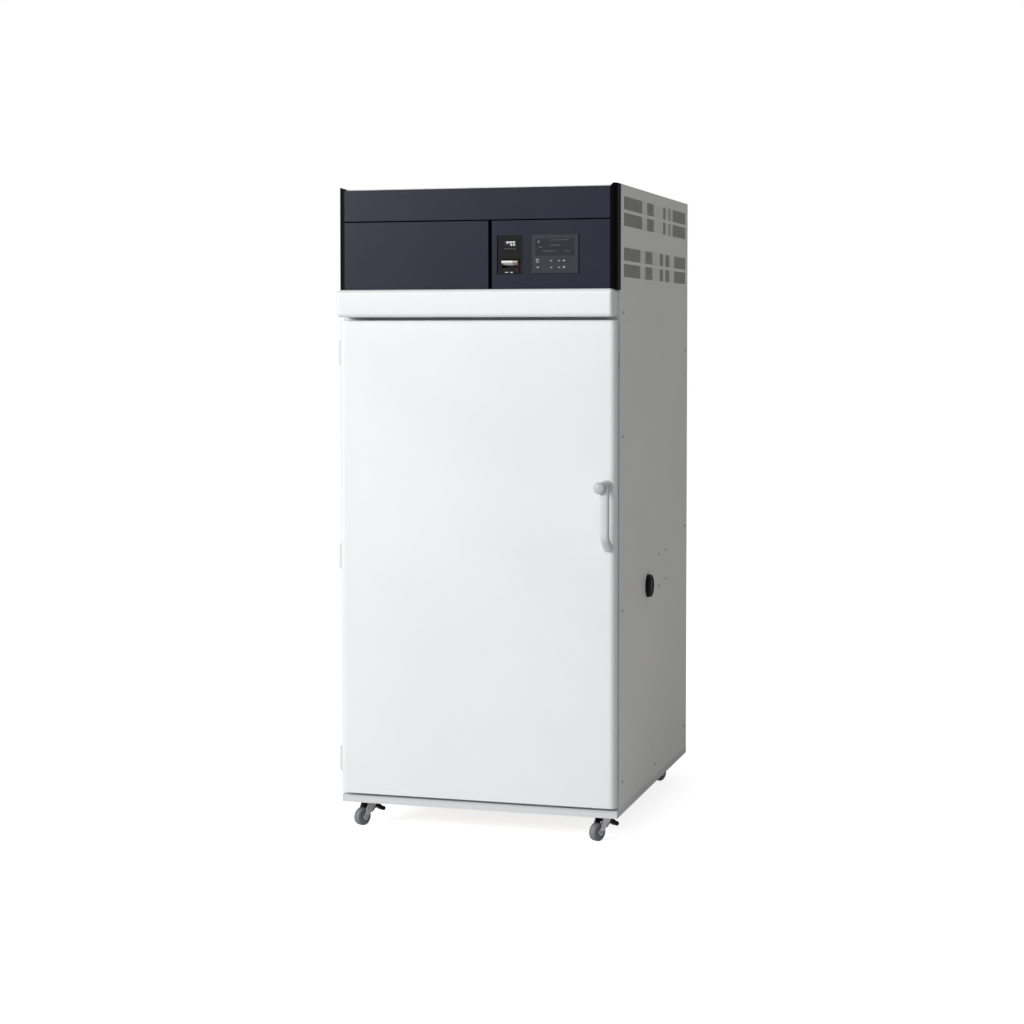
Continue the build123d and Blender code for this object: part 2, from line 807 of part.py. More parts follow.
def vent_panel(side):
    """One slotted side of the instrument box, with its lower edge folded in over the tray."""
    left_x = min(side * half_width, side * (half_width - casing_sheet))
    with BuildPart() as panel:
        with BuildSketch(side_plane(left_x)):
            with Locations(((box_front_y + rear_y) / 2, (seam_z + top_z) / 2)):
                Rectangle(rear_y - box_front_y, box_height)
            for row in (row_one, row_two, row_three, row_four):
                with Locations(((box_front_y + rear_y) / 2, row)):
                    with GridLocations(vent_pitch, 1, vent_columns, 1):
                        Rectangle(vent_slot_width, vent_slot_height, mode=Mode.SUBTRACT)
        extrude(amount=casing_sheet)
        with BuildSketch(level(seam_z + casing_sheet)):
            with Locations(
                (side * (half_width - casing_sheet - flange / 2), (box_front_y + rear_y - casing_sheet) / 2)
            ):
                Rectangle(flange, rear_y - casing_sheet - box_front_y)
        extrude(amount=casing_sheet)
    return panel


finish(vent_panel(-1), "left_vent_panel")
finish(vent_panel(1), "right_vent_panel")

# Control electronics: a board on pillars and a power unit with a finned heat sink
board_width = 220.0
board_depth = 160.0
board_lift = 12.0
sink_width = 120.0
sink_depth = 110.0
sink_height = 70.0
sink_fins = 9
sink_base = 10.0
fin_sheet = 3.0
board_x = 180.0
board_set_in = 300.0
sink_x = -130.0
sink_set_in = 240.0
pillar_inset = 14.0
pillar_radius = 4.0
relay_offset = 50.0
relay_width = 60.0
relay_depth = 42.0
relay_height = 30.0
tray_top = seam_z + casing_sheet
with BuildPart() as control_electronics:
    board_place = (board_x, front_y + board_set_in)
    with BuildSketch(level(tray_top)):
        with Locations(board_place):
            with GridLocations(board_width - pillar_inset, board_depth - pillar_inset, 2, 2):
                RegularPolygon(pillar_radius, 6)
    extrude(amount=board_lift)
    with BuildSketch(level(tray_top + board_lift)):
        with Locations(board_place):
            Rectangle(board_width, board_depth)
    extrude(amount=casing_sheet)
    with BuildSketch(level(tray_top + board_lift + casing_sheet)):
        with Locations((board_x - relay_offset, front_y + board_set_in)):
            Rectangle(relay_width, relay_depth)
        with Locations((board_x + relay_offset, front_y + board_set_in)):
            Rectangle(relay_depth, relay_width)
    extrude(amount=relay_height)
    sink_place = (sink_x, front_y + sink_set_in)
    with BuildSketch(level(tray_top)):
        with Locations(sink_place):
            Rectangle(sink_width, sink_depth)
    extrude(amount=sink_base)
    with BuildSketch(level(tray_top + sink_base)):
        with Locations(sink_place):
            with GridLocations((sink_width - fin_sheet) / (sink_fins - 1), 1, sink_fins, 1):
                Rectangle(fin_sheet, sink_depth)
    extrude(amount=sink_height - sink_base)
finish(control_electronics, "control_electronics")

# Rear diffuser: the chamber's back wall, slotted high up for supply air and low down for return air
slot_columns = 2
slot_side_margin = 35.0
slot_height = 14.0
slot_bridge = 30.0
slot_pitch = 62.0
supply_margin = 45.0
return_margin = 25.0
slot_length = (chamber_width - 2 * slot_side_margin - slot_bridge) / slot_columns
supply_rows = int((chamber_top - return_top - 2 * supply_margin) / slot_pitch)
return_rows = int((return_height - 2 * return_margin) / slot_pitch)
with BuildPart() as rear_diffuser:
    with BuildSketch(front_plane(diffuser_y + liner_sheet)):
        with Locations((0, chamber_floor + chamber_height / 2)):
            Rectangle(chamber_width - 2 * fit_gap, chamber_height - 2 * fit_gap)
        with Locations((0, (return_top + chamber_top) / 2)):
            with GridLocations(slot_length + slot_bridge, slot_pitch, slot_columns, supply_rows):
                Rectangle(slot_length, slot_height, mode=Mode.SUBTRACT)
        with Locations((0, chamber_floor + return_height / 2)):
            with GridLocations(slot_length + slot_bridge, slot_pitch, slot_columns, return_rows):
                Rectangle(slot_length, slot_height, mode=Mode.SUBTRACT)
    extrude(amount=liner_sheet)
finish(rear_diffuser, "rear_diffuser")

# Return plate: the wall in front of the fan, with its inlet ring, and the shelf that the filter stands on
with BuildPart() as return_plate:
    with BuildSketch(side_plane(-chamber_width / 2 + fit_gap)):
        with BuildLine():
            Polyline(
                (inlet_y, chamber_floor),
                (inlet_y, return_top),
                (filter_y, return_top),
                (filter_y, return_top - liner_sheet),
                (inlet_y - liner_sheet, return_top - liner_sheet),
                (inlet_y - liner_sheet, chamber_floor),
                close=True,
            )
        make_face()
    extrude(amount=chamber_width - 2 * fit_gap)
    with BuildSketch(front_plane(inlet_y)):
        with Locations((0, fan_z)):
            Circle(inlet_throat_radius)
    extrude(amount=liner_sheet, mode=Mode.SUBTRACT)
    with BuildSketch(Plane(origin=(0, inlet_y, fan_z), x_dir=(0, 0, 1), z_dir=(1, 0, 0))):
        with BuildLine():
            Polyline(
                (inlet_throat_radius, liner_sheet),
                (inlet_throat_radius - liner_sheet, liner_sheet),
                (inlet_throat_radius - liner_sheet, -inlet_reach),
                (inlet_throat_radius, -inlet_reach),
                close=True,
            )
        make_face()
    revolve(axis=Axis((0, 0, fan_z), (0, 1, 0)))
finish(return_plate, "return_plate")

# Filter: a deep rim with the pleated medium standing in it
pleat_count = int((chamber_width - 2 * filter_rim - 2 * fit_gap) / pleat_pitch)
pleat_rise = filter_depth - pleat_media - 2 * pleat_margin
pleat_start = -pleat_count * pleat_pitch / 2
pleat_y = filter_y + pleat_margin
front_folds = [
    (pleat_start + i * pleat_pitch / 2, pleat_y + (i % 2) * pleat_rise) for i in range(2 * pleat_count + 1)
]
back_folds = [(x, y + pleat_media) for x, y in reversed(front_folds)]
with BuildPart() as air_filter:
    with BuildSketch(level(return_top)):
        with Locations((0, filter_y + filter_depth / 2)):
            Rectangle(chamber_width - 2 * fit_gap, filter_depth)
    extrude(amount=chamber_top - return_top - fit_gap)
    filter_z = (return_top + chamber_top) / 2
    with BuildSketch(front_plane(filter_y + filter_depth)):
        with Locations((0, filter_z)):
            Rectangle(pleat_count * pleat_pitch, chamber_top - return_top - 2 * filter_rim)
    extrude(amount=filter_depth, mode=Mode.SUBTRACT)
    with BuildSketch(level(return_top + filter_rim)):
        with BuildLine():
            Polyline(*front_folds, *back_folds, close=True)
        make_face()
    extrude(amount=chamber_top - return_top - 2 * filter_rim)
finish(air_filter, "air_filter")

# Heater rods: a rack of straight rods across the plenum above the fan, carried by the liner's side walls
heater_y = inlet_y + plenum_depth / 2
with BuildPart() as heater_rods:
    with BuildSketch(side_plane(-chamber_width / 2)):
        with Locations((heater_y, return_top + heater_clearance)):
            with GridLocations(heater_spacing, heater_rise, 2, heater_rows):
                Circle(heater_rod_radius)
    extrude(amount=chamber_width)
finish(heater_rods, "heater_rods")

# Fan: backward-curved blades between a back disc and a shroud ring, on a long shaft
fan_front_y = inlet_y + inlet_reach - inlet_overlap
fan_back_y = fan_front_y + fan_width
blade_inner = fan_eye_radius - blade_root_inset
motor_face_y = back_slab_y + motor_flange_sheet
shaft_end_y = motor_face_y + shaft_in_motor
with BuildPart() as fan_impeller:
    with BuildSketch(front_plane(fan_back_y + fan_sheet)):
        with Locations((0, fan_z)):
            Circle(fan_radius)
    extrude(amount=fan_sheet)
    for i in range(fan_blades):
        turn = 2 * math.pi * i / fan_blades
        spoke = Plane(
            origin=(0, fan_back_y, fan_z), x_dir=(math.cos(turn), 0, math.sin(turn)), z_dir=(0, -1, 0)
        )
        with BuildSketch(spoke):
            with BuildLine():
                outer_curve = RadiusArc((blade_inner, 0), (blade_tip_x, blade_tip_z), blade_curve)
                inner_curve = RadiusArc(
                    (blade_inner + fan_sheet, 0), (blade_tip_x + blade_tip_lean, blade_tip_z - fan_sheet), blade_curve
                )
                Line(outer_curve @ 0, inner_curve @ 0)
                Line(outer_curve @ 1, inner_curve @ 1)
            make_face()
    extrude(amount=fan_width - fan_sheet)
    with BuildSketch(front_plane(fan_front_y + fan_sheet)):
        with Locations((0, fan_z)):
            Circle(fan_radius)
            Circle(fan_eye_radius, mode=Mode.SUBTRACT)
    extrude(amount=fan_sheet)
    with BuildSketch(front_plane(fan_back_y + fan_sheet)):
        with Locations((0, fan_z)):
            Circle(fan_hub_radius)
    extrude(amount=fan_sheet + fan_hub_length)
    with BuildSketch(front_plane(shaft_end_y)):
        with Locations((0, fan_z)):
            Circle(shaft_radius)
    extrude(amount=shaft_end_y - fan_back_y)
finish(fan_impeller, "fan_impeller")

# Fan motor: a square flange on the back slab, a round case and a bore for the shaft
with BuildPart() as fan_motor:
    with BuildSketch(front_plane(motor_face_y)):
        with Locations((0, fan_z)):
            Rectangle(motor_flange, motor_flange)
    extrude(amount=motor_flange_sheet)
    with BuildSketch(front_plane(motor_face_y + motor_length)):
        with Locations((0, fan_z)):
            Circle(motor_radius)
    extrude(amount=motor_length)
    with BuildSketch(front_plane(shaft_end_y + shaft_end_gap)):
        with Locations((0, fan_z)):
            Circle(shaft_radius + running_gap)
    extrude(amount=shaft_end_y + shaft_end_gap - back_slab_y, mode=Mode.SUBTRACT)
finish(fan_motor, "fan_motor")

# Exhaust duct: up from the chamber's ceiling to a square elbow box and out at the back as a spigot with a hose stop
damper_y = rear_y + damper_axis_reach
spigot_end_y = rear_y + spigot_length
elbow_half = duct_collar
duct_bore = duct_radius - duct_wall
with BuildPart() as exhaust_duct:
    with Locations((duct_x, duct_y, duct_z)):
        Box(2 * elbow_half, 2 * elbow_half, 2 * elbow_half)
    with BuildSketch(level(chamber_top - liner_sheet)):
        with Locations((duct_x, duct_y)):
            Rectangle(2 * duct_collar, 2 * duct_collar)
    extrude(amount=liner_sheet)
    with BuildSketch(level(chamber_top)):
        with Locations((duct_x, duct_y)):
            Circle(duct_radius)
    extrude(amount=duct_z - elbow_half - chamber_top)
    with BuildSketch(front_plane(spigot_end_y)):
        with Locations((duct_x, duct_z)):
            Circle(duct_radius)
    extrude(amount=spigot_end_y - duct_y - elbow_half)
    with BuildSketch(front_plane(rear_y + casing_sheet)):
        with Locations((duct_x, duct_z)):
            Rectangle(2 * duct_collar, 2 * duct_collar)
    extrude(amount=casing_sheet)
    with BuildSketch(front_plane(rear_y + stop_reach)):
        with Locations((duct_x, duct_z)):
            Rectangle(2 * stop_half, 2 * stop_half)
    extrude(amount=casing_sheet)
    with Locations((duct_x, duct_y, duct_z)):
        Box(2 * (elbow_half - duct_wall), 2 * (elbow_half - duct_wall), 2 * (elbow_half - duct_wall), mode=Mode.SUBTRACT)
    with BuildSketch(level(chamber_top - liner_sheet)):
        with Locations((duct_x, duct_y)):
            Circle(duct_bore)
    extrude(amount=duct_z - chamber_top + liner_sheet, mode=Mode.SUBTRACT)
    with BuildSketch(front_plane(spigot_end_y)):
        with Locations((duct_x, duct_z)):
            Circle(duct_bore)
    extrude(amount=spigot_end_y - duct_y, mode=Mode.SUBTRACT)
    with BuildSketch(level(duct_z - duct_radius - duct_wall)):
        with Locations((duct_x, damper_y)):
            Circle(damper_spindle_radius + running_gap)
    extrude(amount=2 * (duct_radius + duct_wall), mode=Mode.SUBTRACT)
finish(exhaust_duct, "exhaust_duct")

# Damper: a round plate on a spindle across the spigot, with its knob above, resting open
damper_plate_radius = duct_bore - damper_gap
knob_base_z = duct_z + duct_radius + moving_gap
with BuildPart() as exhaust_damper:
    with BuildSketch(side_plane(duct_x - damper_sheet / 2)):
        with Locations((damper_y, duct_z)):
            Circle(damper_plate_radius)
    extrude(amount=damper_sheet)
    with BuildSketch(level(duct_z - duct_radius)):
        with Locations((duct_x, damper_y)):
            Circle(damper_spindle_radius)
    extrude(amount=knob_base_z - duct_z + duct_radius)
    with BuildSketch(level(knob_base_z)):
        with Locations((duct_x, damper_y)):
            Rectangle(damper_handle_width, damper_handle_length)
    extrude(amount=damper_handle_height)
finish(exhaust_damper, "exhaust_damper")

# Supply cable gland: a barrel through the rear wall with a hexagon outside
with BuildPart() as cable_gland:
    with BuildSketch(front_plane(rear_y + gland_nut_length)):
        with Locations((gland_x, gland_z)):
            RegularPolygon(gland_nut_radius, 6)
    extrude(amount=gland_nut_length)
    with BuildSketch(front_plane(rear_y + gland_nut_length + gland_stand)):
        with Locations((gland_x, gland_z)):
            Circle(gland_radius)
    extrude(amount=gland_length)
    with BuildSketch(front_plane(rear_y + gland_nut_length + gland_stand)):
        with Locations((gland_x, gland_z)):
            Circle(gland_bore_radius)
    extrude(amount=gland_length, mode=Mode.SUBTRACT)
finish(cable_gland, "cable_gland")

# Cable port sleeve through the right wall, flanged outside, and the plug that closes it
port_centre = Plane(origin=(chamber_width / 2, port_y, port_height), x_dir=(0, 1, 0), z_dir=(1, 0, 0))
sleeve_length = half_width - chamber_width / 2
plug_head = side_reach - port_flange_sheet
with BuildPart() as port_sleeve:
    with BuildSketch(port_centre):
        Circle(port_radius)
        Circle(port_radius - port_wall, mode=Mode.SUBTRACT)
    extrude(amount=sleeve_length)
    with BuildSketch(port_centre.offset(sleeve_length)):
        Circle(port_flange_radius)
        Circle(port_radius - port_wall, mode=Mode.SUBTRACT)
    extrude(amount=port_flange_sheet)
finish(port_sleeve, "port_sleeve")

with BuildPart() as port_plug:
    with BuildSketch(port_centre.offset(sleeve_length + port_flange_sheet)):
        Circle(plug_radius)
    extrude(amount=plug_head)
    with BuildSketch(port_centre.offset(sleeve_length + port_flange_sheet - port_plug_length)):
        Circle(port_radius - port_wall - fit_gap)
    extrude(amount=port_plug_length)
finish(port_plug, "port_plug")

# Shelf supports: four uprights on the side walls, each pair joined by brackets that carry the shelves
shelf_half = chamber_width / 2 - shelf_side_gap
shelf_front_y = front_y + shelf_front_gap
shelf_back_y = diffuser_y - shelf_back_gap
shelf_depth = shelf_back_y - shelf_front_y
upright_length = chamber_height - upright_top_gap
with BuildPart() as shelf_supports:
    for side in (-1, 1):
        wall_x = side * chamber_width / 2
        with BuildSketch(level(chamber_floor)):
            for y in (shelf_front_y + upright_inset, shelf_back_y - upright_inset):
                with Locations((wall_x - side * upright_depth / 2, y)):
                    Rectangle(upright_depth, upright_width)
                with Locations((wall_x - side * (upright_depth - upright_sheet) / 2, y)):
                    Rectangle(upright_depth - upright_sheet, upright_width - 2 * upright_sheet, mode=Mode.SUBTRACT)
        extrude(amount=upright_length)
        for height in shelf_heights:
            with BuildSketch(front_plane(shelf_back_y - upright_inset / 2)):
                with BuildLine():
                    Polyline(
                        (wall_x - side * upright_depth, chamber_floor + height),
                        (wall_x - side * (upright_depth + bracket_width), chamber_floor + height),
                        (wall_x - side * (upright_depth + bracket_width), chamber_floor + height - shelf_sheet),
                        (wall_x - side * (upright_depth + shelf_sheet), chamber_floor + height - shelf_sheet),
                        (wall_x - side * (upright_depth + shelf_sheet), chamber_floor + height - bracket_width),
                        (wall_x - side * upright_depth, chamber_floor + height - bracket_width),
                        close=True,
                    )
                make_face()
            extrude(amount=shelf_depth - upright_inset)
finish(shelf_supports, "shelf_supports")

# Shelves: slotted sheets with front and back edges turned down, lying on the brackets
shelf_slots = int(2 * (shelf_half - shelf_end_margin) / shelf_slot_pitch)
with BuildPart() as shelves:
    for height in shelf_heights:
        top = chamber_floor + height + shelf_sheet
        with BuildSketch(level(top - shelf_sheet)):
            with Locations((0, (shelf_front_y + shelf_back_y) / 2)):
                Rectangle(2 * shelf_half, shelf_depth)
                with GridLocations(shelf_slot_pitch, 1, shelf_slots, 1):
                    Rectangle(shelf_slot_width, shelf_depth - 2 * shelf_slot_inset, mode=Mode.SUBTRACT)
        extrude(amount=shelf_sheet)
        with BuildSketch(level(top - shelf_lip)):
            for y in (shelf_front_y + shelf_sheet / 2, shelf_back_y - shelf_sheet / 2):
                with Locations((0, y)):
                    Rectangle(2 * shelf_half, shelf_sheet)
        extrude(amount=shelf_lip - shelf_sheet)
finish(shelves, "shelves")

# Door skin: a deep pan with rounded upright edges, returned inwards at the back
door_half = half_width - door_side_inset
door_height = door_top - door_bottom
door_centre_z = (door_bottom + door_top) / 2
spindle_x = half_width - knob_side_offset
handle_height = door_top - handle_drop
catch_height = door_top - catch_drop
inner_panel_y = door_back_y - casing_sheet
with BuildPart() as door_skin:
    with BuildSketch(level(door_bottom)):
        with Locations((0, (door_front_y + door_back_y) / 2)):
            Rectangle(2 * door_half, door_thickness)
        fillet(vertices().group_by(Axis.Y)[0], door_edge_radius)
    extrude(amount=door_height)
    offset(amount=-casing_sheet, openings=faces().sort_by(Axis.Y)[-1])
    with BuildSketch(front_plane(inner_panel_y)):
        with Locations((0, door_centre_z)):
            Rectangle(2 * door_half - 2 * casing_sheet, door_height - 2 * casing_sheet)
            Rectangle(2 * (door_half - flange), door_height - 2 * flange, mode=Mode.SUBTRACT)
    extrude(amount=casing_sheet)
    with BuildSketch(front_plane(door_front_y + casing_sheet)):
        with Locations((spindle_x, handle_height)):
            Circle(spindle_radius + fit_gap)
    extrude(amount=casing_sheet, mode=Mode.SUBTRACT)
finish(door_skin, "door_skin")

# Door inner panel: a stainless sheet with a raised plug that enters the chamber's mouth
plug_width = chamber_width - 2 * plug_gap
plug_tall = chamber_height - 2 * plug_gap
mouth_z = chamber_floor + chamber_height / 2
plug_y = door_back_y + plug_height
with BuildPart() as door_inner_panel:
    with BuildSketch(front_plane(plug_y)):
        with Locations((0, mouth_z)):
            Rectangle(plug_width, plug_tall)
    extrude(amount=plug_y - inner_panel_y)
    offset(amount=-liner_sheet, openings=faces().sort_by(Axis.Y)[0])
    with BuildSketch(front_plane(door_back_y)):
        with Locations((0, door_centre_z)):
            Rectangle(2 * (door_half - casing_sheet - fit_gap), door_height - 2 * casing_sheet - 2 * fit_gap)
        with Locations((0, mouth_z)):
            Rectangle(plug_width - 2 * liner_sheet, plug_tall - 2 * liner_sheet, mode=Mode.SUBTRACT)
        with Locations((spindle_x, handle_height)):
            Circle(spindle_radius + fit_gap, mode=Mode.SUBTRACT)
    extrude(amount=casing_sheet)
finish(door_inner_panel, "door_inner_panel")

# Door insulation: one slab inside the skin
with BuildPart() as door_insulation:
    with BuildSketch(front_plane(inner_panel_y - casing_sheet)):
        with Locations((0, door_centre_z)):
            Rectangle(2 * (door_half - door_edge_radius), door_height - 2 * casing_sheet)
        with Locations((spindle_x, handle_height)):
            Circle(spindle_radius + fit_gap, mode=Mode.SUBTRACT)
    extrude(amount=inner_panel_y - casing_sheet - door_front_y - casing_sheet)
finish(door_insulation, "door_insulation")

# Door gasket: a ring on the inner panel that closes on the front frame
gasket_inner_width = chamber_width + 2 * gasket_margin
gasket_inner_height = chamber_height + 2 * gasket_margin
with BuildPart() as door_gasket:
    with BuildSketch(front_plane(front_y - gasket_squeeze_gap)):
        with Locations((0, mouth_z)):
            Rectangle(gasket_inner_width + 2 * gasket_width, gasket_inner_height + 2 * gasket_width)
            fillet(vertices(), gasket_width)
            Rectangle(gasket_inner_width, gasket_inner_height, mode=Mode.SUBTRACT)
    extrude(amount=door_gap - gasket_squeeze_gap)
finish(door_gasket, "door_gasket")

# Lift-off hinges: the cabinet's knuckle stands below with the pin, the door's knuckle drops over it
hinge_x = -(half_width + side_reach - knuckle_radius)
hinge_y = front_y - door_gap / 2
leaf_right = -half_width + hinge_leaf_width
hinge_heights = (door_bottom + hinge_inset, door_centre_z, door_top - hinge_inset)
with BuildPart() as hinge_cabinet_leaves:
    for height in hinge_heights:
        with BuildSketch(level(height - knuckle_length)):
            with Locations(((hinge_x + leaf_right) / 2, front_y - hinge_leaf_sheet / 2)):
                Rectangle(leaf_right - hinge_x, hinge_leaf_sheet)
            with Locations((hinge_x, hinge_y)):
                Circle(knuckle_radius)
        extrude(amount=knuckle_length)
        with BuildSketch(level(height)):
            with Locations((hinge_x, hinge_y)):
                RegularPolygon(hinge_pin_radius, pin_sides)
        extrude(amount=knuckle_length)
finish(hinge_cabinet_leaves, "hinge_cabinet_leaves")

with BuildPart() as hinge_door_leaves:
    for height in hinge_heights:
        with BuildSketch(level(height + knuckle_gap)):
            with Locations(((hinge_x + leaf_right) / 2, door_back_y + hinge_leaf_sheet / 2)):
                Rectangle(leaf_right - hinge_x, hinge_leaf_sheet)
            with Locations((hinge_x, hinge_y)):
                Circle(knuckle_radius)
                Circle(hinge_pin_radius + running_gap, mode=Mode.SUBTRACT)
        extrude(amount=knuckle_length)
finish(hinge_door_leaves, "hinge_door_leaves")

# Pull grip: a bar with bevelled edges that slopes back to the door at its foot, with a boss for the latch at its top
grip_x = half_width - grip_side_offset
grip_y = door_front_y - grip_standoff + grip_thickness / 2
grip_bottom = handle_height - grip_length
boss_front_y = door_front_y - grip_standoff - boss_stand
with BuildPart() as handle_grip:
    with BuildLine() as grip_path:
        FilletPolyline(
            (grip_x, grip_y, handle_height),
            (grip_x, grip_y, grip_bottom),
            (grip_x, door_front_y + grip_thickness / 2, grip_bottom - grip_foot_drop),
            radius=grip_bend,
        )
    with BuildSketch(level(handle_height)):
        with Locations((grip_x, grip_y)):
            Rectangle(grip_width, grip_thickness)
        chamfer(vertices(), grip_corner)
    sweep(path=grip_path.wires()[0])
    with BuildSketch(front_plane(door_front_y)):
        with Locations(((spindle_x + grip_x) / 2, handle_height)):
            SlotCenterToCenter(grip_x - spindle_x, 2 * boss_radius)
    extrude(amount=door_front_y - boss_front_y)
    with BuildSketch(front_plane(door_front_y)):
        with Locations((spindle_x, handle_height)):
            Circle(spindle_radius + running_gap)
    extrude(amount=door_front_y - boss_front_y, mode=Mode.SUBTRACT)
    split(bisect_by=Plane.XZ.offset(-door_front_y), keep=Keep.TOP)
finish(handle_grip, "handle_grip")

# Latch: domed knob and spindle with the tongue behind the door, resting unlatched with the tongue upright
keeper_lip_y = door_back_y + keeper_door_gap
tongue_front_y = keeper_lip_y + keeper_sheet + fit_gap
knob_back_y = boss_front_y - moving_gap
with BuildPart() as latch_knob:
    with BuildSketch(front_plane(knob_back_y)):
        with Locations((spindle_x, handle_height)):
            Circle(knob_radius)
    extrude(amount=knob_length)
    chamfer(faces().sort_by(Axis.Y)[0].edges(), knob_edge)
    with BuildSketch(front_plane(tongue_front_y)):
        with Locations((spindle_x, handle_height)):
            Circle(spindle_radius)
    extrude(amount=tongue_front_y - knob_back_y)
    with BuildSketch(front_plane(tongue_front_y + tongue_sheet)):
        with Locations((spindle_x, handle_height + (tongue_reach - tongue_width / 2) / 2)):
            SlotCenterToCenter(tongue_reach - tongue_width / 2, tongue_width, rotation=90)
    extrude(amount=tongue_sheet)
finish(latch_knob, "latch_knob")

# Keepers on the front frame: the hook that the tongue turns into, and the small grey catch higher up
keeper_x = half_width - casing_sheet - fit_gap - keeper_width / 2
keeper_leg_z = handle_height - tongue_width / 2 - keeper_sheet - keeper_clearance
with BuildPart() as door_keepers:
    with BuildSketch(side_plane(keeper_x - keeper_width / 2)):
        with BuildLine():
            Polyline(
                (front_y, keeper_leg_z - keeper_foot),
                (front_y, keeper_leg_z + keeper_sheet),
                (keeper_lip_y + keeper_sheet, keeper_leg_z + keeper_sheet),
                (keeper_lip_y + keeper_sheet, keeper_leg_z + keeper_height),
                (keeper_lip_y, keeper_leg_z + keeper_height),
                (keeper_lip_y, keeper_leg_z),
                (front_y - keeper_sheet, keeper_leg_z),
                (front_y - keeper_sheet, keeper_leg_z - keeper_foot),
                close=True,
            )
        make_face()
    extrude(amount=keeper_width)
    with BuildSketch(front_plane(front_y)):
        with Locations((half_width - catch_width / 2, catch_height)):
            Rectangle(catch_width, catch_length)
    extrude(amount=door_gap - keeper_door_gap)
finish(door_keepers, "door_keepers")


def caster_planes(x, y):
    """The flat plane under a castor, turned to its heading, and the upright plane through its trail."""
    heading = Vector(math.cos(math.radians(caster_heading)), math.sin(math.radians(caster_heading)), 0)
    flat = Plane(origin=(x, y, 0), x_dir=heading, z_dir=(0, 0, 1))
    upright = Plane(origin=(x, y, 0), x_dir=heading, z_dir=heading.cross(Vector(0, 0, 1)))
    return flat, upright


caster_x = half_width - caster_side_inset
caster_front_y = front_y + caster_front_inset
caster_rear_y = rear_y - caster_rear_inset
caster_places = {
    "front_left": (-caster_x, caster_front_y),
    "front_right": (caster_x, caster_front_y),
    "rear_left": (-caster_x, caster_rear_y),
    "rear_right": (caster_x, caster_rear_y),
}
plate_bottom = caster_height - caster_plate_sheet
crown_top = plate_bottom - moving_gap
crown_bottom = crown_top - crown_height
leg_inner = wheel_width / 2 + fork_wheel_gap

# Castor top plates with their kingpins
with BuildPart() as caster_mounts:
    for x, y in caster_places.values():
        with BuildSketch(level(plate_bottom)):
            with Locations((x, y)):
                Rectangle(caster_plate, caster_plate)
        extrude(amount=caster_plate_sheet)
        with BuildSketch(level(crown_bottom - moving_gap - kingpin_head_length)):
            with Locations((x, y)):
                RegularPolygon(kingpin_radius, pin_sides)
        extrude(amount=plate_bottom - crown_bottom + moving_gap + kingpin_head_length)
        with BuildSketch(level(crown_bottom - moving_gap - kingpin_head_length)):
            with Locations((x, y)):
                RegularPolygon(kingpin_head_radius, 6)
        extrude(amount=kingpin_head_length)
finish(caster_mounts, "caster_mounts")


def caster_fork(x, y, with_pedal):
    """A fork: crown, two legs that taper to the axle, the axle, and ears for a pedal on a braked castor."""
    flat, upright = caster_planes(x, y)
    with BuildPart() as fork:
        with BuildSketch(flat.offset(crown_bottom)):
            RegularPolygon(crown_radius, 8)
            Circle(kingpin_radius + running_gap, mode=Mode.SUBTRACT)
        extrude(amount=crown_height)
        for side in (-1, 1):
            start = leg_inner if side > 0 else -leg_inner - fork_sheet
            with BuildSketch(upright.offset(start)):
                with BuildLine():
                    Polyline(
                        (-leg_root, crown_bottom),
                        (leg_root, crown_bottom),
                        (caster_trail + leg_tip, wheel_radius + leg_tip / 2),
                        (caster_trail + leg_tip, wheel_radius - leg_tip / 2),
                        (caster_trail + leg_tip / 2, wheel_radius - leg_tip),
                        (caster_trail - leg_tip / 2, wheel_radius - leg_tip),
                        (-leg_root, crown_bottom - ear_height),
                        close=True,
                    )
                make_face()
                if with_pedal:
                    with Locations((-pedal_pivot, crown_bottom - ear_height / 2)):
                        Rectangle(ear_width, ear_height)
            extrude(amount=fork_sheet)
        with BuildSketch(upright.offset(-leg_inner)):
            with Locations((caster_trail, wheel_radius)):
                RegularPolygon(caster_axle_radius, pin_sides)
        extrude(amount=2 * leg_inner)
        if with_pedal:
            with BuildSketch(upright.offset(-leg_inner)):
                with Locations((-pedal_pivot, crown_bottom - pedal_drop)):
                    RegularPolygon(pedal_axle_radius, pin_sides)
            extrude(amount=2 * leg_inner)
    return fork


def caster_wheel(x, y):
    """A flat-treaded wheel with a bore for the axle."""
    flat, upright = caster_planes(x, y)
    with BuildPart() as wheel:
        with BuildSketch(upright.offset(-wheel_width / 2)):
            with Locations((caster_trail, wheel_radius)):
                Circle(wheel_radius)
                Circle(caster_axle_radius + running_gap, mode=Mode.SUBTRACT)
        extrude(amount=wheel_width)
    return wheel


def brake_pedal(x, y):
    """A toe pedal hung on the fork's cross pin, with a shoe that swings close to the tread."""
    flat, upright = caster_planes(x, y)
    pivot_z = crown_bottom - pedal_drop
    with BuildPart() as pedal:
        with BuildSketch(upright.offset(-leg_inner + fork_wheel_gap)):
            with BuildLine():
                Polyline(
                    (-pedal_pivot + pedal_sheet, pivot_z + pedal_sheet),
                    (-pedal_pivot - pedal_length / 2, pivot_z + pedal_sheet),
                    (-pedal_pivot - pedal_length, pivot_z - pedal_sheet),
                    (-pedal_pivot - pedal_length, pivot_z - 2 * pedal_sheet),
                    (-pedal_pivot - pedal_sheet, pivot_z - pedal_sheet),
                    (-pedal_pivot + shoe_reach - pedal_sheet, pivot_z - shoe_drop - pedal_sheet / 2),
                    (-pedal_pivot + shoe_reach, pivot_z - shoe_drop),
                    close=True,
                )
            make_face()
            with Locations((-pedal_pivot, pivot_z)):
                Circle(pedal_axle_radius + running_gap, mode=Mode.SUBTRACT)
        extrude(amount=2 * (leg_inner - fork_wheel_gap))
    return pedal


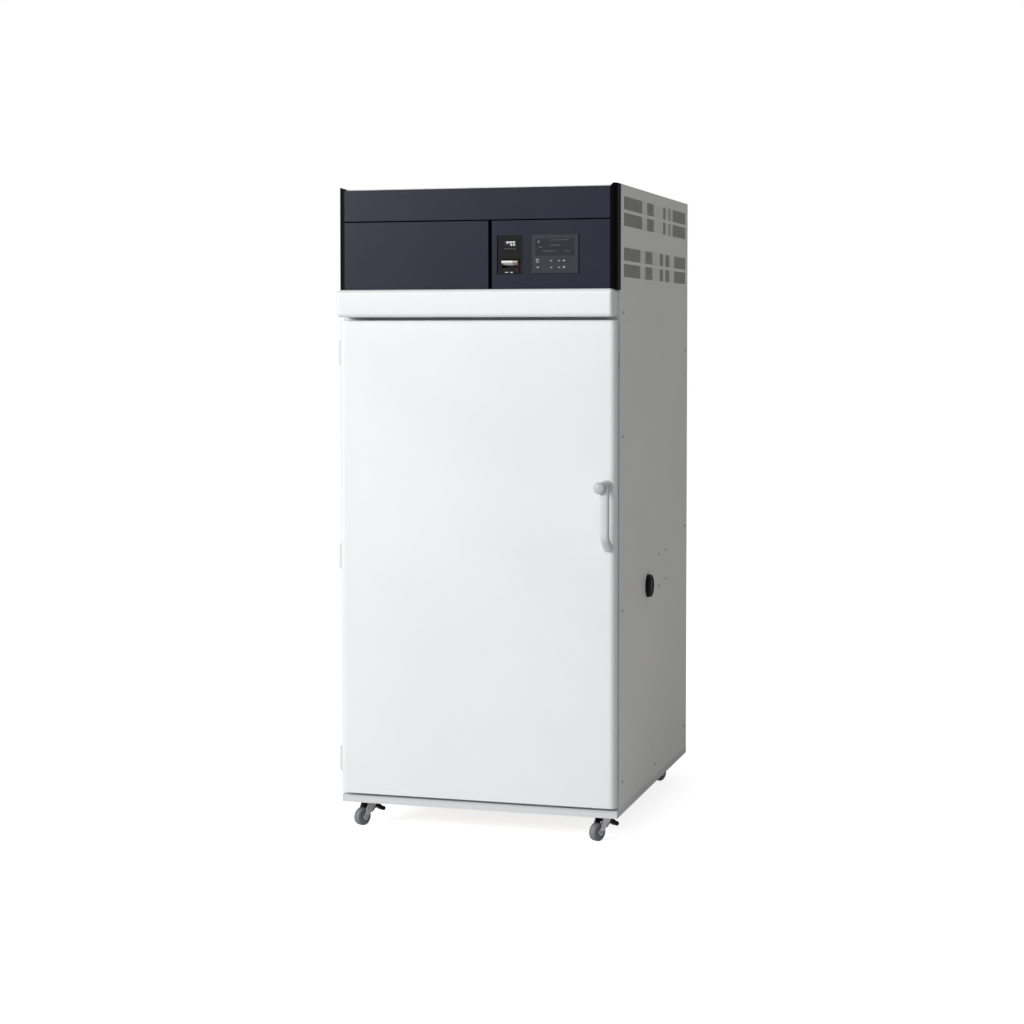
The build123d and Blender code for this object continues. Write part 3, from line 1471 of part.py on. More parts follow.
for corner, (x, y) in caster_places.items():
    braked = corner.startswith("front")
    finish(caster_fork(x, y, braked), "caster_fork_" + corner)
    finish(caster_wheel(x, y), "caster_wheel_" + corner)
    if braked:
        finish(brake_pedal(x, y), "brake_pedal_" + corner)
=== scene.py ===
import math

import bmesh
import bpy
from mathutils import Matrix, Vector


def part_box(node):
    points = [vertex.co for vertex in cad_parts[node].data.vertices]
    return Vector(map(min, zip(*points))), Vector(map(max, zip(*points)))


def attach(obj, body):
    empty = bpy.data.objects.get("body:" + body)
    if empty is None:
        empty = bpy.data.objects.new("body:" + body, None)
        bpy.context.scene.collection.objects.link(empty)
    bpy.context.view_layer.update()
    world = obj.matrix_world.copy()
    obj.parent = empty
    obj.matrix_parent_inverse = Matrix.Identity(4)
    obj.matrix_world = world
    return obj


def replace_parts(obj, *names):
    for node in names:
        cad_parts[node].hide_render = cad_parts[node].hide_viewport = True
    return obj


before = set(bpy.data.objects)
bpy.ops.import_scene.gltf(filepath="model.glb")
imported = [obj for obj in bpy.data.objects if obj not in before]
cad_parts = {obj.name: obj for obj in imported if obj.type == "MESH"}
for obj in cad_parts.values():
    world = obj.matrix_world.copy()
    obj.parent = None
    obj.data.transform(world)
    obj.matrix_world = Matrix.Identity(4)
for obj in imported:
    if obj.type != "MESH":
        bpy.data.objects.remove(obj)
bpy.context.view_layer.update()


# Materials


def new_material(name):
    """An empty node material with its shader and output."""
    material = bpy.data.materials.new(name)
    material.use_nodes = True
    nodes = material.node_tree.nodes
    nodes.clear()
    output = nodes.new("ShaderNodeOutputMaterial")
    shader = nodes.new("ShaderNodeBsdfPrincipled")
    material.node_tree.links.new(shader.outputs["BSDF"], output.inputs["Surface"])
    return material, shader


def noise(material, scale, detail=4.0, stretch=(1.0, 1.0, 1.0)):
    """A noise texture in object coordinates, stretched along the axes."""
    nodes, links = material.node_tree.nodes, material.node_tree.links
    place = nodes.new("ShaderNodeTexCoord")
    mapping = nodes.new("ShaderNodeMapping")
    mapping.inputs["Scale"].default_value = stretch
    texture = nodes.new("ShaderNodeTexNoise")
    texture.inputs["Scale"].default_value = scale
    texture.inputs["Detail"].default_value = detail
    links.new(place.outputs["Object"], mapping.inputs["Vector"])
    links.new(mapping.outputs["Vector"], texture.inputs["Vector"])
    return texture.outputs["Fac"]


def tint(material, shader, factor, low, high):
    """Blends the base colour between two close shades."""
    nodes, links = material.node_tree.nodes, material.node_tree.links
    ramp = nodes.new("ShaderNodeValToRGB")
    ramp.color_ramp.elements[0].position = 0.3
    ramp.color_ramp.elements[1].position = 0.7
    ramp.color_ramp.elements[0].color = (*low, 1.0)
    ramp.color_ramp.elements[1].color = (*high, 1.0)
    links.new(factor, ramp.inputs["Fac"])
    links.new(ramp.outputs["Color"], shader.inputs["Base Color"])


def gloss(material, shader, factor, low, high):
    """Lets the roughness wander between two values."""
    nodes, links = material.node_tree.nodes, material.node_tree.links
    span = nodes.new("ShaderNodeMapRange")
    span.inputs["To Min"].default_value = low
    span.inputs["To Max"].default_value = high
    links.new(factor, span.inputs["Value"])
    links.new(span.outputs["Result"], shader.inputs["Roughness"])


def relief(material, shader, factor, height, strength):
    """Bumps the surface by a texture."""
    nodes, links = material.node_tree.nodes, material.node_tree.links
    bump = nodes.new("ShaderNodeBump")
    bump.inputs["Distance"].default_value = height
    bump.inputs["Strength"].default_value = strength
    links.new(factor, bump.inputs["Height"])
    links.new(bump.outputs["Normal"], shader.inputs["Normal"])


def shade(colour, change):
    """A colour made a little lighter or darker."""
    return tuple(max(0.0, c * (1.0 + change)) for c in colour)


def painted(name, colour, rough=(0.32, 0.42), peel=900.0, strength=0.12, spread=0.025, sheen=0.45):
    """Baked enamel on sheet metal: faint clouds in the tone and a fine orange peel."""
    material, shader = new_material(name)
    tint(material, shader, noise(material, 2.2, 5.0), shade(colour, -spread), shade(colour, spread))
    gloss(material, shader, noise(material, 9.0, 3.0), *rough)
    relief(material, shader, noise(material, peel, 2.0), 0.0004, strength)
    shader.inputs["Specular IOR Level"].default_value = sheen
    return material


def moulded(name, colour, rough=(0.38, 0.5), grain=1500.0, strength=0.15, spread=0.05, sheen=0.5):
    """Moulded plastic with a fine spark-eroded grain."""
    material, shader = new_material(name)
    tint(material, shader, noise(material, 30.0, 3.0), shade(colour, -spread), shade(colour, spread))
    gloss(material, shader, noise(material, 60.0, 2.0), *rough)
    relief(material, shader, noise(material, grain, 2.0), 0.0002, strength)
    shader.inputs["Specular IOR Level"].default_value = sheen
    return material


def brushed(name, colour, along=(1.0, 1.0, 60.0), rough=(0.22, 0.4)):
    """Brushed sheet steel: long fine scratches in the gloss and the normal."""
    material, shader = new_material(name)
    streaks = noise(material, 18.0, 6.0, along)
    tint(material, shader, streaks, shade(colour, -0.06), shade(colour, 0.06))
    gloss(material, shader, streaks, *rough)
    relief(material, shader, streaks, 0.0002, 0.12)
    shader.inputs["Metallic"].default_value = 1.0
    return material


def plated(name, colour, rough=(0.2, 0.34)):
    """Zinc or chrome plating with soft mottling."""
    material, shader = new_material(name)
    mottle = noise(material, 55.0, 5.0)
    tint(material, shader, mottle, shade(colour, -0.1), shade(colour, 0.06))
    gloss(material, shader, mottle, *rough)
    relief(material, shader, noise(material, 400.0, 2.0), 0.0002, 0.1)
    shader.inputs["Metallic"].default_value = 1.0
    return material


def fibrous(name, colour, scale=260.0, spread=0.25):
    """Wool or paper: strong fine fibres and no gloss."""
    material, shader = new_material(name)
    fibres = noise(material, scale, 8.0, (1.0, 0.4, 1.0))
    tint(material, shader, fibres, shade(colour, -spread), shade(colour, spread))
    relief(material, shader, fibres, 0.002, 0.5)
    shader.inputs["Roughness"].default_value = 0.95
    return material


def glowless_glass(name, colour):
    """A dark acrylic window over a display."""
    material, shader = new_material(name)
    tint(material, shader, noise(material, 40.0, 2.0), shade(colour, -0.05), shade(colour, 0.05))
    gloss(material, shader, noise(material, 120.0, 3.0), 0.08, 0.16)
    shader.inputs["Coat Weight"].default_value = 0.6
    shader.inputs["Coat Roughness"].default_value = 0.08
    return material


door_paint = painted("door_paint", (0.80, 0.815, 0.825), rough=(0.3, 0.38))
case_paint = painted("case_paint", (0.815, 0.81, 0.795))
base_paint = painted("base_paint", (0.66, 0.668, 0.68))
fascia_paint = painted(
    "fascia_paint", (0.0105, 0.0105, 0.027), rough=(0.3, 0.36),
    peel=1400.0, strength=0.08, spread=0.08, sheen=0.3,
)
post_plastic = moulded("post_plastic", (0.0025, 0.0025, 0.003), rough=(0.45, 0.55), sheen=0.06)
black_plastic = moulded("black_plastic", (0.008, 0.008, 0.009), sheen=0.14)
unit_plastic = moulded("unit_plastic", (0.030, 0.030, 0.042), rough=(0.3, 0.38), sheen=0.3)
key_plastic = moulded("key_plastic", (0.045, 0.045, 0.055), rough=(0.4, 0.5), sheen=0.3)
screen_glass = glowless_glass("screen_glass", (0.022, 0.022, 0.032))
toggle_plastic = moulded("toggle_plastic", (0.82, 0.81, 0.76), rough=(0.3, 0.4), spread=0.02)
toggle_blush = moulded("toggle_blush", (0.50, 0.40, 0.38), rough=(0.3, 0.4), spread=0.02)
red_plastic = moulded("red_plastic", (0.11, 0.006, 0.012), rough=(0.3, 0.4), sheen=0.2)
grip_plastic = moulded("grip_plastic", (0.62, 0.635, 0.65), rough=(0.3, 0.4), spread=0.02)
knob_plastic = moulded("knob_plastic", (0.50, 0.51, 0.53), rough=(0.3, 0.4), spread=0.02)
hinge_paint = painted("hinge_paint", (0.66, 0.67, 0.68))
mark_ink = moulded("mark_ink", (0.62, 0.62, 0.63), rough=(0.5, 0.6), spread=0.03)
faint_ink = moulded("faint_ink", (0.13, 0.13, 0.15), rough=(0.5, 0.6), spread=0.03)
stainless = brushed("stainless", (0.60, 0.60, 0.59), along=(1.0, 60.0, 1.0))
zinc_sheet = plated("zinc_sheet", (0.52, 0.53, 0.54), rough=(0.3, 0.45))
caster_plating = plated("caster_plating", (0.68, 0.68, 0.70))
# Dark plating: the real colour of the heater rods, and painted shade on the castor crowns, the castor mounts
# and the screws' cross recesses
dark_steel_and_painted_shade = plated("dark_steel_and_painted_shade", (0.05, 0.05, 0.055), rough=(0.3, 0.5))
mineral_wool = fibrous("mineral_wool", (0.50, 0.42, 0.22))
filter_paper = fibrous("filter_paper", (0.78, 0.78, 0.76), scale=500.0, spread=0.06)
silicone = moulded("silicone", (0.33, 0.07, 0.04), rough=(0.5, 0.6), grain=600.0)
wheel_rubber = moulded("wheel_rubber", (0.21, 0.215, 0.22), rough=(0.5, 0.62), grain=700.0, strength=0.3)
motor_paint = painted("motor_paint", (0.06, 0.075, 0.085), rough=(0.4, 0.6), peel=500.0, strength=0.4)
board_lacquer = moulded("board_lacquer", (0.01, 0.075, 0.03), rough=(0.25, 0.4), grain=300.0)
screw_plating = plated("screw_plating", (0.42, 0.42, 0.42), rough=(0.3, 0.45))


# Mesh helpers: everything is built in the shared frame, in metres


smooth_limit = math.radians(38)


def piece(name, mesh_builder, material, body, bevel=None, segments=3, smooth=True):
    """Makes an object out of a filled bmesh, rounds its edges and lets it ride on a body."""
    mesh = bpy.data.meshes.new(name)
    mesh_builder.normal_update()
    bmesh.ops.recalc_face_normals(mesh_builder, faces=mesh_builder.faces[:])
    mesh_builder.to_mesh(mesh)
    mesh_builder.free()
    obj = bpy.data.objects.new(name, mesh)
    bpy.context.scene.collection.objects.link(obj)
    mesh.materials.append(material)
    if smooth:
        for polygon in mesh.polygons:
            polygon.use_smooth = True
        mesh.set_sharp_from_angle(angle=smooth_limit)
    if bevel:
        rounding = obj.modifiers.new("rounding", "BEVEL")
        rounding.width = bevel
        rounding.segments = segments
        rounding.limit_method = "ANGLE"
        rounding.angle_limit = smooth_limit
        rounding.harden_normals = True
    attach(obj, body)
    return obj


def add_box(bm, low, high):
    """Adds a closed box between two corners."""
    made = bmesh.ops.create_cube(bm, size=1.0)
    for vertex in made["verts"]:
        for axis in range(3):
            vertex.co[axis] = low[axis] if vertex.co[axis] < 0 else high[axis]


def add_prism(bm, outline, start, end, frame_matrix):
    """Adds a closed prism: a flat outline swept from start to end along the third axis of a frame."""
    bottom = [bm.verts.new(frame_matrix @ Vector((x, y, start))) for x, y in outline]
    top = [bm.verts.new(frame_matrix @ Vector((x, y, end))) for x, y in outline]
    bm.faces.new(list(reversed(bottom)))
    bm.faces.new(top)
    count = len(outline)
    for i in range(count):
        j = (i + 1) % count
        bm.faces.new((bottom[i], bottom[j], top[j], top[i]))


def add_turned(bm, profile, frame_matrix, steps=64):
    """Adds a turned body: (radius, height) pairs spun round the third axis of a frame."""
    rings = []
    for radius, height in profile:
        if radius < 1e-7:
            rings.append([bm.verts.new(frame_matrix @ Vector((0, 0, height)))])
        else:
            ring = []
            for i in range(steps):
                turn = 2 * math.pi * i / steps
                point = Vector((radius * math.cos(turn), radius * math.sin(turn), height))
                ring.append(bm.verts.new(frame_matrix @ point))
            rings.append(ring)
    for first, second in zip(rings, rings[1:]):
        for i in range(steps):
            j = (i + 1) % steps
            if len(first) == 1 and len(second) == 1:
                continue
            if len(first) == 1:
                bm.faces.new((first[0], second[j], second[i]))
            elif len(second) == 1:
                bm.faces.new((first[i], first[j], second[0]))
            else:
                bm.faces.new((first[i], first[j], second[j], second[i]))


def arc(centre_x, centre_y, radius, start, span, steps):
    """Points along an arc of a circle, from an angle through a span, both in degrees."""
    points = []
    for i in range(steps + 1):
        turn = math.radians(start + span * i / steps)
        points.append((centre_x + radius * math.cos(turn), centre_y + radius * math.sin(turn)))
    return points


def rounded_outline(width, height, radius, steps=8):
    """A rectangle with rounded corners, centred on zero."""
    points = []
    for sx, sy, start in ((1, 1, 0), (-1, 1, 90), (-1, -1, 180), (1, -1, 270)):
        points += arc(sx * (width / 2 - radius), sy * (height / 2 - radius), radius, start, 90, steps)
    return points


def front_frame_at(x, y, z):
    """A frame whose third axis points to the front, with x to the right and y up."""
    return Matrix(((1, 0, 0, x), (0, 0, -1, y), (0, 1, 0, z), (0, 0, 0, 1)))


def right_frame_at(x, y, z):
    """A frame whose third axis points to the right, with x to the back and y up."""
    return Matrix(((0, 0, 1, x), (1, 0, 0, y), (0, 1, 0, z), (0, 0, 0, 1)))


def left_frame_at(x, y, z):
    """A frame whose third axis points to the left, with x to the front and y up."""
    return Matrix(((0, 0, -1, x), (-1, 0, 0, y), (0, 1, 0, z), (0, 0, 0, 1)))


def back_frame_at(x, y, z):
    """A frame whose third axis points to the back, with x to the left and y up."""
    return Matrix(((-1, 0, 0, x), (0, 0, 1, y), (0, 1, 0, z), (0, 0, 0, 1)))


def up_frame_at(x, y, z):
    """A frame whose third axis points up."""
    return Matrix.Translation((x, y, z))


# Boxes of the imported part's nodes: low and high corner
side_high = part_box("right_side_panel")[1]
skin_low, skin_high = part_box("door_skin")
strip_low, strip_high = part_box("fascia_strip")
blank_low, blank_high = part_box("blank_panel")
panel_low, panel_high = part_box("control_panel")
vent_low, vent_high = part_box("right_vent_panel")
visor_low, visor_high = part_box("visor")
unit_low, unit_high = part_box("control_unit")
grip_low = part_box("handle_grip")[0]
knob_low, knob_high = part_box("latch_knob")

# Door front: a pan with rounded upright edges and small radii at top and bottom.
# Its back stays clear of the inner panel, so that the two faces don't coincide.
door_edge_radius = 0.018
inner_panel_clearance = 0.0024
door_back = skin_high.y - inner_panel_clearance
outline = [(skin_low.x, door_back), (skin_high.x, door_back)]
for side, start in ((1, 0), (-1, -90)):
    centre_x = side * (skin_high.x - door_edge_radius)
    outline += arc(centre_x, skin_low.y + door_edge_radius, door_edge_radius, start, -90, 12)
bm = bmesh.new()
add_prism(bm, outline, skin_low.z, skin_high.z, up_frame_at(0, 0, 0))
door_front = piece("door_front", bm, door_paint, "door", bevel=0.0022, segments=4)
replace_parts(door_front, "door_skin", "door_insulation")

# Door rim: the skin's turned-in edge, which closes the joint to the body on four sides
bm = bmesh.new()
rim_start, rim_end = door_back - 0.004, skin_high.y
rim_inset, rim_width = 0.0002, 0.0026
rim_x, rim_bottom, rim_top = skin_high.x - rim_inset, skin_low.z + rim_inset, skin_high.z - rim_inset
add_box(bm, (-rim_x, rim_start, rim_bottom), (-rim_x + rim_width, rim_end, rim_top))
add_box(bm, (rim_x - rim_width, rim_start, rim_bottom), (rim_x, rim_end, rim_top))
add_box(bm, (-rim_x + rim_width, rim_start, rim_bottom), (rim_x - rim_width, rim_end, rim_bottom + rim_width))
add_box(bm, (-rim_x + rim_width, rim_start, rim_top - rim_width), (rim_x - rim_width, rim_end, rim_top))
piece("door_rim", bm, door_paint, "door")

# Visor: a bull nose with its ends closed and softly rounded
nose_radius = 0.013
outline = [(visor_high.y, visor_low.z), (visor_high.y, visor_high.z)]
for centre_z, start in ((visor_high.z - nose_radius, 90), (visor_low.z + nose_radius, 180)):
    outline += arc(visor_low.y + nose_radius, centre_z, nose_radius, start, 90, 8)
bm = bmesh.new()
add_prism(bm, outline, visor_low.x, visor_high.x, right_frame_at(0, 0, 0))
visor_shell = piece("visor_shell", bm, door_paint, "cabinet", bevel=0.011, segments=6)
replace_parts(visor_shell, "visor")


def pan_piece(name, low, high, windows=()):
    """A fascia panel as a solid-edged pan with rounded edges and its windows cut through."""
    bm = bmesh.new()
    columns = sorted({low.x, high.x, *[w[0] for w in windows], *[w[1] for w in windows]})
    rows = sorted({low.z, high.z, *[w[2] for w in windows], *[w[3] for w in windows]})
    verts = {}
    for depth in (low.y, high.y):
        for x in columns:
            for z in rows:
                verts[(x, z, depth)] = bm.verts.new((x, depth, z))

    def solid(i, k):
        if i < 0 or k < 0 or i >= len(columns) - 1 or k >= len(rows) - 1:
            return False
        middle_x = (columns[i] + columns[i + 1]) / 2
        middle_z = (rows[k] + rows[k + 1]) / 2
        return not any(w[0] < middle_x < w[1] and w[2] < middle_z < w[3] for w in windows)

    for i in range(len(columns) - 1):
        for k in range(len(rows) - 1):
            if not solid(i, k):
                continue
            x0, x1, z0, z1 = columns[i], columns[i + 1], rows[k], rows[k + 1]
            front, back = low.y, high.y
            bm.faces.new([verts[(x, z, front)] for x, z in ((x0, z0), (x1, z0), (x1, z1), (x0, z1))])
            bm.faces.new([verts[(x, z, back)] for x, z in ((x0, z1), (x1, z1), (x1, z0), (x0, z0))])
            sides = (
                ((i - 1, k), (x0, z0), (x0, z1)),
                ((i + 1, k), (x1, z1), (x1, z0)),
                ((i, k - 1), (x1, z0), (x0, z0)),
                ((i, k + 1), (x0, z1), (x1, z1)),
            )
            for (ni, nk), a, b in sides:
                if not solid(ni, nk):
                    corners = ((*a, front), (*b, front), (*b, back), (*a, back))
                    bm.faces.new([verts[corner] for corner in corners])
    bmesh.ops.dissolve_limit(bm, angle_limit=0.01, verts=bm.verts[:], edges=bm.edges[:])
    return piece(name, bm, fascia_paint, "cabinet", bevel=0.0011, segments=3)


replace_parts(pan_piece("fascia_top_strip", strip_low, strip_high), "fascia_strip")
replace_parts(pan_piece("fascia_blank", blank_low, blank_high), "blank_panel")
inset_low, inset_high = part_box("switch_plate")
inset_lap = 0.008
unit_lap = 0.005


def window_in(low, high, lap):
    """The window that a device fills from behind, lapped by the panel on every side."""
    return low.x + lap, high.x - lap, low.z + lap, high.z - lap


control_windows = (window_in(inset_low, inset_high, inset_lap), window_in(unit_low, unit_high, unit_lap))
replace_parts(pan_piece("fascia_control", panel_low, panel_high, control_windows), "control_panel")

# Vent panels: rows of narrow upright slots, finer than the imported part's
slot_pitch = 0.0115
slot_width = 0.0084
vent_sheet_depth = 0.0006
slot_height = 0.036
pair_gap = 0.009
middle_gap = 0.059
top_margin = 0.031
end_margin = 0.034


def vent_sheet(name, low, high, side, node):
    """One slotted side sheet, made cell by cell so that every slot is a real hole."""
    bm = bmesh.new()
    length = high.y - low.y
    count = int((length - 2 * end_margin) / slot_pitch)
    start = low.y + (length - (count - 1) * slot_pitch - slot_width) / 2
    row_tops = []
    z = high.z - top_margin
    for gap in (pair_gap, middle_gap, pair_gap, 0.0):
        row_tops.append(z)
        z -= slot_height + gap
    columns = [low.y]
    for i in range(count):
        columns += [start + i * slot_pitch, start + i * slot_pitch + slot_width]
    columns.append(high.y)
    rows = sorted([low.z, high.z, *row_tops, *[t - slot_height for t in row_tops]])
    open_rows = {round(t - slot_height, 6) for t in row_tops}
    outer = high.x if side > 0 else low.x
    inner = outer - side * vent_sheet_depth
    grid = {}
    for depth in (outer, inner):
        for i, y in enumerate(columns):
            for k, z in enumerate(rows):
                grid[(i, k, depth)] = bm.verts.new((depth, y, z))

    def is_open(i, k):
        return i % 2 == 1 and 0 < i < len(columns) - 2 and round(rows[k], 6) in open_rows

    def quad(*keys):
        bm.faces.new([grid[key] for key in keys])

    for i in range(len(columns) - 1):
        for k in range(len(rows) - 1):
            if is_open(i, k):
                corners = ((i, k), (i + 1, k), (i + 1, k + 1), (i, k + 1))
                for a, b in zip(corners, corners[1:] + corners[:1]):
                    quad((*a, outer), (*b, outer), (*b, inner), (*a, inner))
            else:
                quad((i, k, outer), (i + 1, k, outer), (i + 1, k + 1, outer), (i, k + 1, outer))
                quad((i, k, inner), (i, k + 1, inner), (i + 1, k + 1, inner), (i + 1, k, inner))
    last_i, last_k = len(columns) - 1, len(rows) - 1
    for i in range(last_i):
        quad((i, 0, outer), (i, 0, inner), (i + 1, 0, inner), (i + 1, 0, outer))
        quad((i, last_k, outer), (i + 1, last_k, outer), (i + 1, last_k, inner), (i, last_k, inner))
    for k in range(last_k):
        quad((0, k, outer), (0, k + 1, outer), (0, k + 1, inner), (0, k, inner))
        quad((last_i, k, outer), (last_i, k, inner), (last_i, k + 1, inner), (last_i, k + 1, outer))
    panel = piece(name, bm, case_paint, "cabinet", smooth=False)
    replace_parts(panel, node)


vent_sheet("vent_sheet_right", vent_low, vent_high, 1, "right_vent_panel")
left_vent_low, left_vent_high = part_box("left_vent_panel")
vent_sheet("vent_sheet_left", left_vent_low, left_vent_high, -1, "left_vent_panel")


# Behind the slots: a dark sheet along each side that paints the shade inside the case, with light stiffeners
# in front of it
vent_length = vent_high.y - vent_low.y
rows_middle = vent_high.z - top_margin - 2 * slot_height - pair_gap - middle_gap / 2
low_edge = vent_low.z + 0.006
high_edge = vent_high.z - 0.018
row_parting = 0.002
plate_depth = 0.0004
shade_sheet_setback = 0.0006
stiffener_setback = 0.0001


def behind_vents(name, start, end, bottom, top, side, setback, material):
    """A thin upright plate close behind the slots, placed along them by shares of their length."""
    bm = bmesh.new()
    outer = side * (vent_high.x - vent_sheet_depth - setback)
    inner = outer - side * plate_depth
    y0 = vent_low.y + start * vent_length
    y1 = vent_low.y + end * vent_length
    add_box(bm, (min(outer, inner), y0, bottom), (max(outer, inner), y1, top))
    piece(name, bm, material, "cabinet", bevel=0.0001, segments=1)


upper_patches = ((0.29, 0.36), (0.46, 0.60), (0.64, 0.69), (0.715, 0.755))
lower_patches = ((0.27, 0.335), (0.445, 0.555), (0.60, 0.635), (0.70, 0.78), (0.965, 0.99))
stiffener_rows = (
    ("upper", upper_patches, rows_middle, high_edge),
    ("lower", lower_patches, low_edge, rows_middle - row_parting),
)
for side, word in ((1, "right"), (-1, "left")):
    name = "vent_shade_sheet_" + word
    # black sheet: painted shade seen through the slots
    behind_vents(name, 0.005, 0.99, low_edge, high_edge, side, shade_sheet_setback, black_plastic)
    for row, patches, bottom, top in stiffener_rows:
        for number, (start, end) in enumerate(patches):
            name = "%s_stiffener_%s_%d" % (row, word, number)
            behind_vents(name, start, end, bottom, top, side, stiffener_setback, case_paint)

# Pull grip: an oval bar with a smooth bend at its foot, and the boss under the knob
grip_reach = 0.055
bar_half_width = 0.0127
bar_half_depth = 0.0088
bar_squareness = 0.72
bar_sides = 28
bend_radius = 0.024
bend_angle = 55
bend_steps = 12
straight_steps = 26
foot_step = 0.0052
foot_steps = 8
grip_centre_x = skin_high.x - 0.020
bar_y = skin_low.y - grip_reach + 0.009
spindle_x = (knob_low.x + knob_high.x) / 2
spindle_z = knob_low.z + 0.018
top_z = spindle_z - 0.002
bend_start_z = grip_low.z + 0.050 + 0.020
path = []
for i in range(straight_steps + 1):
    path.append((bar_y, top_z + (bend_start_z - top_z) * (i / straight_steps)))
for i in range(1, bend_steps + 1):
    turn = math.radians(bend_angle * i / bend_steps)
    path.append((bar_y + bend_radius * (1 - math.cos(turn)), bend_start_z - bend_radius * math.sin(turn)))
last_y, last_z = path[-1]
run_y = math.sin(math.radians(bend_angle))
run_z = math.cos(math.radians(bend_angle))
for i in range(1, foot_steps + 1):
    path.append((last_y + run_y * foot_step * i, last_z - run_z * foot_step * i))
bm = bmesh.new()
across = Vector((1, 0, 0))
rings = []
for i, (y, z) in enumerate(path):
    before = path[max(0, i - 1)]
    after = path[min(len(path) - 1, i + 1)]
    direction = Vector((0, after[0] - before[0], after[1] - before[1])).normalized()
    normal = across.cross(direction)
    ring = []
    for j in range(bar_sides):
        turn = 2 * math.pi * j / bar_sides
        c, s = math.cos(turn), math.sin(turn)
        wide = bar_half_width * math.copysign(abs(c) ** bar_squareness, c)
        thick = bar_half_depth * math.copysign(abs(s) ** bar_squareness, s)
        ring.append(bm.verts.new(Vector((grip_centre_x, y, z)) + across * wide + normal * thick))
    rings.append(ring)
for first, second in zip(rings, rings[1:]):
    for j in range(bar_sides):
        k = (j + 1) % bar_sides
        bm.faces.new((first[j], first[k], second[k], second[j]))
bm.faces.new(rings[0])
bm.faces.new(list(reversed(rings[-1])))
bmesh.ops.bisect_plane(
    bm,
    geom=bm.verts[:] + bm.edges[:] + bm.faces[:],
    plane_co=(0, skin_low.y, 0),
    plane_no=(0, 1, 0),
    clear_outer=True,
)
bmesh.ops.holes_fill(bm, edges=[e for e in bm.edges if e.is_boundary])
piece("grip_bar", bm, grip_plastic, "door")

boss_shift = 0.004
boss_profile = [(0.0, 0.0), (0.0185, 0.0), (0.0188, 0.002), (0.0165, 0.006), (0.0158, 0.012)]
boss_profile += [(0.0158, 0.0535), (0.0148, 0.0555), (0.0, 0.0555)]
bm = bmesh.new()
add_turned(bm, boss_profile, front_frame_at(spindle_x + boss_shift, skin_low.y, spindle_z), 72)
boss = piece("grip_boss", bm, grip_plastic, "door")
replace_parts(boss, "handle_grip")

# Latch knob: a domed disc on the spindle, with the turning tongue behind the door
knob_radius = 0.0165
knob_shoulder = 0.0060
knob_standoff = 0.0563
knob_back = skin_low.y - knob_standoff
knob_depth = knob_back - knob_low.y
knob_profile = [(0.0, 0.0), (0.0142, 0.0), (0.0158, 0.0008), (0.0164, 0.003), (knob_radius, knob_shoulder)]
for i in range(1, 13):
    turn = math.radians(90 * i / 12)
    reach = knob_radius * math.cos(turn) if i < 12 else 0.0
    knob_profile.append((reach, knob_shoulder + (knob_depth - knob_shoulder) * math.sin(turn)))
bm = bmesh.new()
add_turned(bm, knob_profile, front_frame_at(spindle_x, knob_back, spindle_z), 72)
knob = piece("knob_dome", bm, knob_plastic, "latch")
spindle_radius = 0.0048
spindle_lap = 0.001
spindle_length = knob_high.y - knob_back - spindle_lap
spindle_profile = [(0.0, 0.0), (spindle_radius, 0.0), (spindle_radius, spindle_length), (0.0, spindle_length)]
bm = bmesh.new()
add_turned(bm, spindle_profile, back_frame_at(spindle_x, knob_back - spindle_lap, spindle_z), 32)
piece("latch_spindle", bm, screw_plating, "latch")
tongue_radius = 0.007
tongue_length = 0.020
tongue_depth = 0.003
outline = arc(0.0, tongue_length, tongue_radius, 0, 180, 16) + arc(0.0, 0.0, tongue_radius, 180, 180, 16)
bm = bmesh.new()
add_prism(bm, outline, 0.0, tongue_depth, back_frame_at(spindle_x, knob_high.y - tongue_depth, spindle_z))
piece("latch_tongue", bm, screw_plating, "latch", bevel=0.0005)
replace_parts(knob, "latch_knob")

# Control devices: faces, glasses and marks on the CAD modules
module_low, module_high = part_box("switch_modules")
toggle_low, toggle_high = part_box("breaker_toggle")
face_y = module_low.y
inset_x = (inset_low.x + inset_high.x) / 2


def tile(
    name, x, z, width, height, back_y, front_y, material,
    body="cabinet", corner=0.0008, edge=0.0002,
):
    """A small flat tile with rounded corners, facing the front."""
    bm = bmesh.new()
    outline = rounded_outline(width, height, min(corner, width * 0.45, height * 0.45), 4)
    add_prism(bm, outline, 0.0, back_y - front_y, front_frame_at(x, back_y, z))
    piece(name, bm, material, body, bevel=edge, segments=2)


module_z = module_high.z - 0.017


def module_tile(name, x, rise, width, height, back, front, material, corner=0.0008):
    """A tile on the upper module, placed from its middle and from the face of the modules."""
    back_y, front_y = face_y + back, face_y + front
    tile(name, inset_x + x, module_z + rise, width, height, back_y, front_y, material, corner=corner)


module_tile("module_window", 0.0, 0.004, 0.0335, 0.0155, 0.0009, 0.0003, screen_glass)
for number in range(3):
    x = -0.0075 + number * 0.0088
    module_tile("module_digit_%d" % number, x, 0.0068, 0.0072, 0.0072, 0.0004, 0.0001, mark_ink, 0.0016)
for number in range(2):
    x = 0.0035 + number * 0.0082
    module_tile("module_value_%d" % number, x, -0.0010, 0.0060, 0.0044, 0.0004, 0.0001, mark_ink, 0.0010)
for number in range(4):
    x = -0.0135 + number * 0.0090
    module_tile("module_key_%d" % number, x, -0.0110, 0.0060, 0.0042, 0.0001, -0.0008, key_plastic, 0.0016)
    module_tile("module_key_mark_%d" % number, x, -0.0110, 0.0030, 0.0012, -0.0007, -0.00095, faint_ink)
caption_z = module_low.z + 0.0050
for number in range(2):
    x = inset_x - 0.010 + number * 0.014
    name = "breaker_caption_%d" % number
    tile(name, x, caption_z, 0.0085, 0.0022, face_y + 0.0001, face_y - 0.0002, mark_ink)

lever_radius = 0.0045
lever_y, lever_z = toggle_high.y - lever_radius, toggle_low.z + lever_radius
lever_lean = math.radians(17.0)
blade_length = 0.0165
blade_tip_radius = 0.0034


